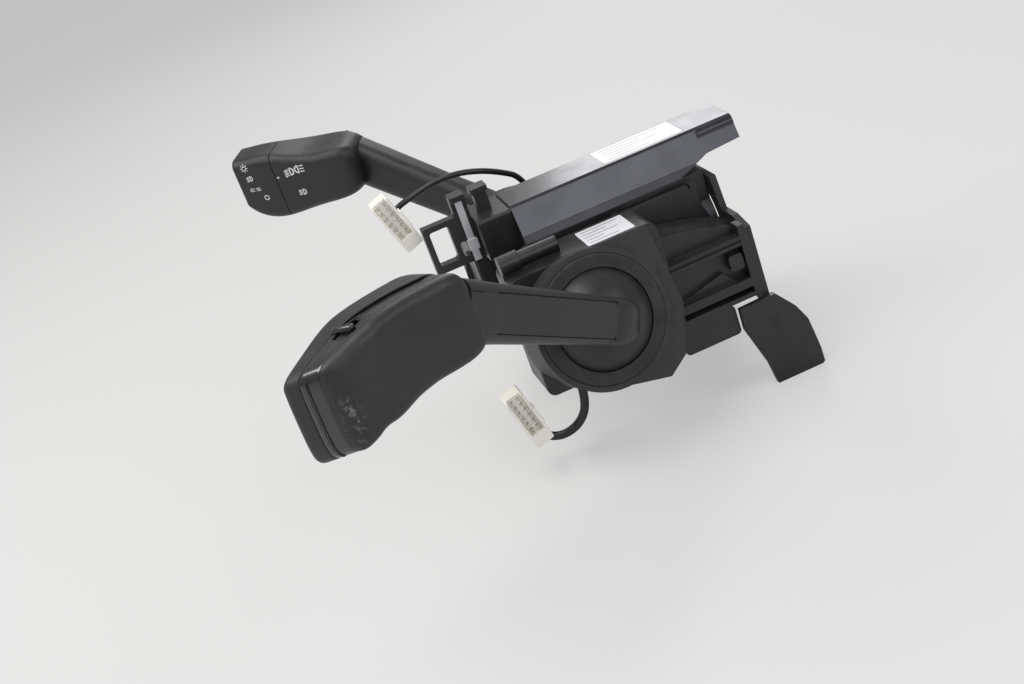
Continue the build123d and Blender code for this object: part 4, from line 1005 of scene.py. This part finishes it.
FLOOR_HALF = 6.0              # metres
FLOOR_GLOW = 0.5              # share of plain glow that the camera sees in the floor
floor_z = cad_box[0][2]
floor_mesh = bpy.data.meshes.new("floor")
floor_mesh.from_pydata([(x * FLOOR_HALF, y * FLOOR_HALF, floor_z)
                        for x, y in ((-1, -1), (1, -1), (1, 1), (-1, 1))], [], [(0, 1, 2, 3)])
floor = add_object("floor", floor_mesh)
floor_material = bpy.data.materials.new("floor_paper")
floor_material.use_nodes = True
floor_tree = floor_material.node_tree
floor_surface = floor_tree.nodes["Principled BSDF"]
floor_surface.inputs["Base Color"].default_value = (0.66, 0.655, 0.645, 1)
floor_surface.inputs["Roughness"].default_value = 0.85
floor_glow = node(floor_tree, "ShaderNodeEmission", {"Color": (0.80, 0.795, 0.785, 1)})
floor_path = node(floor_tree, "ShaderNodeLightPath")
floor_share = multiply(floor_tree, floor_path.outputs["Is Camera Ray"], FLOOR_GLOW)
camera_ray_mix(floor_tree, "Material Output", floor_share, floor_surface.outputs["BSDF"],
               floor_glow.outputs["Emission"])
floor_mesh.materials.append(floor_material)

world = bpy.data.worlds.new("studio")
bpy.context.scene.world = world
world.use_nodes = True
world_tree = world.node_tree
room = world_tree.nodes["Background"]
room.inputs["Color"].default_value = (0.92, 0.93, 0.95, 1)
room.inputs["Strength"].default_value = 0.42
backdrop = node(world_tree, "ShaderNodeBackground", {"Color": (0.83, 0.83, 0.825, 1), "Strength": 1.0})
world_path = node(world_tree, "ShaderNodeLightPath")
camera_ray_mix(world_tree, "World Output", world_path.outputs["Is Camera Ray"],
               room.outputs["Background"], backdrop.outputs["Background"])


def area_light(name, place, target, width, height, power, colour):
    """Rectangular lamp at a place, turned to a target."""
    light = bpy.data.lights.new(name, "AREA")
    light.shape = "RECTANGLE"
    light.size = width
    light.size_y = height
    light.energy = power
    light.color = colour
    obj = add_object(name, light)
    obj.location = place
    obj.rotation_euler = (Vector(target) - Vector(place)).to_track_quat("-Z", "Y").to_euler()


# name, place, target, width and height in metres, power in watts, colour
LIGHTS = [
    ("key_overhead", (0.15, -0.35, 1.25), (0.02, 0, 0), 0.9, 0.7, 7.5, (1.0, 0.985, 0.96)),
    ("side_fill", (0.85, 0.95, 0.75), (0, 0, 0), 0.7, 0.7, 3.2, (0.93, 0.96, 1.0)),
    ("far_strip", (-0.95, 0.35, 0.8), (0, 0, 0.02), 0.35, 1.1, 4.0, (0.97, 0.98, 1.0)),
    ("camera_side_panel", (1.0, 0.22, 0.42), (0.1, -0.02, 0.03), 0.5, 0.35, 1.6, (0.86, 0.90, 1.0)),
    ("camera_left_panel", (0.95, -0.42, 0.70), (0.15, -0.08, 0.05), 0.45, 0.35, 1.2, (0.84, 0.88, 1.0)),
    ("end_strip", (-0.02, -0.80, 0.66), (0.16, -0.11, 0.05), 0.7, 0.2, 3.2, (1.0, 1.0, 1.0)),
]
for lamp in LIGHTS:
    area_light(*lamp)

CAMERA_PLACE = (0.5967, -0.1119, 0.2434)
CAMERA_BACK = Vector((0.907, -0.124, 0.4025)).normalized()
CAMERA_RIGHT = Vector((0.267, 0.908, -0.3215))
CAMERA_RIGHT = (CAMERA_RIGHT - CAMERA_BACK * CAMERA_RIGHT.dot(CAMERA_BACK)).normalized()
CAMERA_UP = CAMERA_BACK.cross(CAMERA_RIGHT)
camera_data = bpy.data.cameras.new("camera")
camera_data.sensor_width = 36.0
camera_data.lens = 50.0
camera = add_object("camera", camera_data)
camera_turn = Matrix((CAMERA_RIGHT, CAMERA_UP, CAMERA_BACK)).transposed().to_4x4()
camera.matrix_world = Matrix.Translation(CAMERA_PLACE) @ camera_turn
bpy.context.scene.camera = camera
bpy.context.scene.view_settings.view_transform = "Standard"
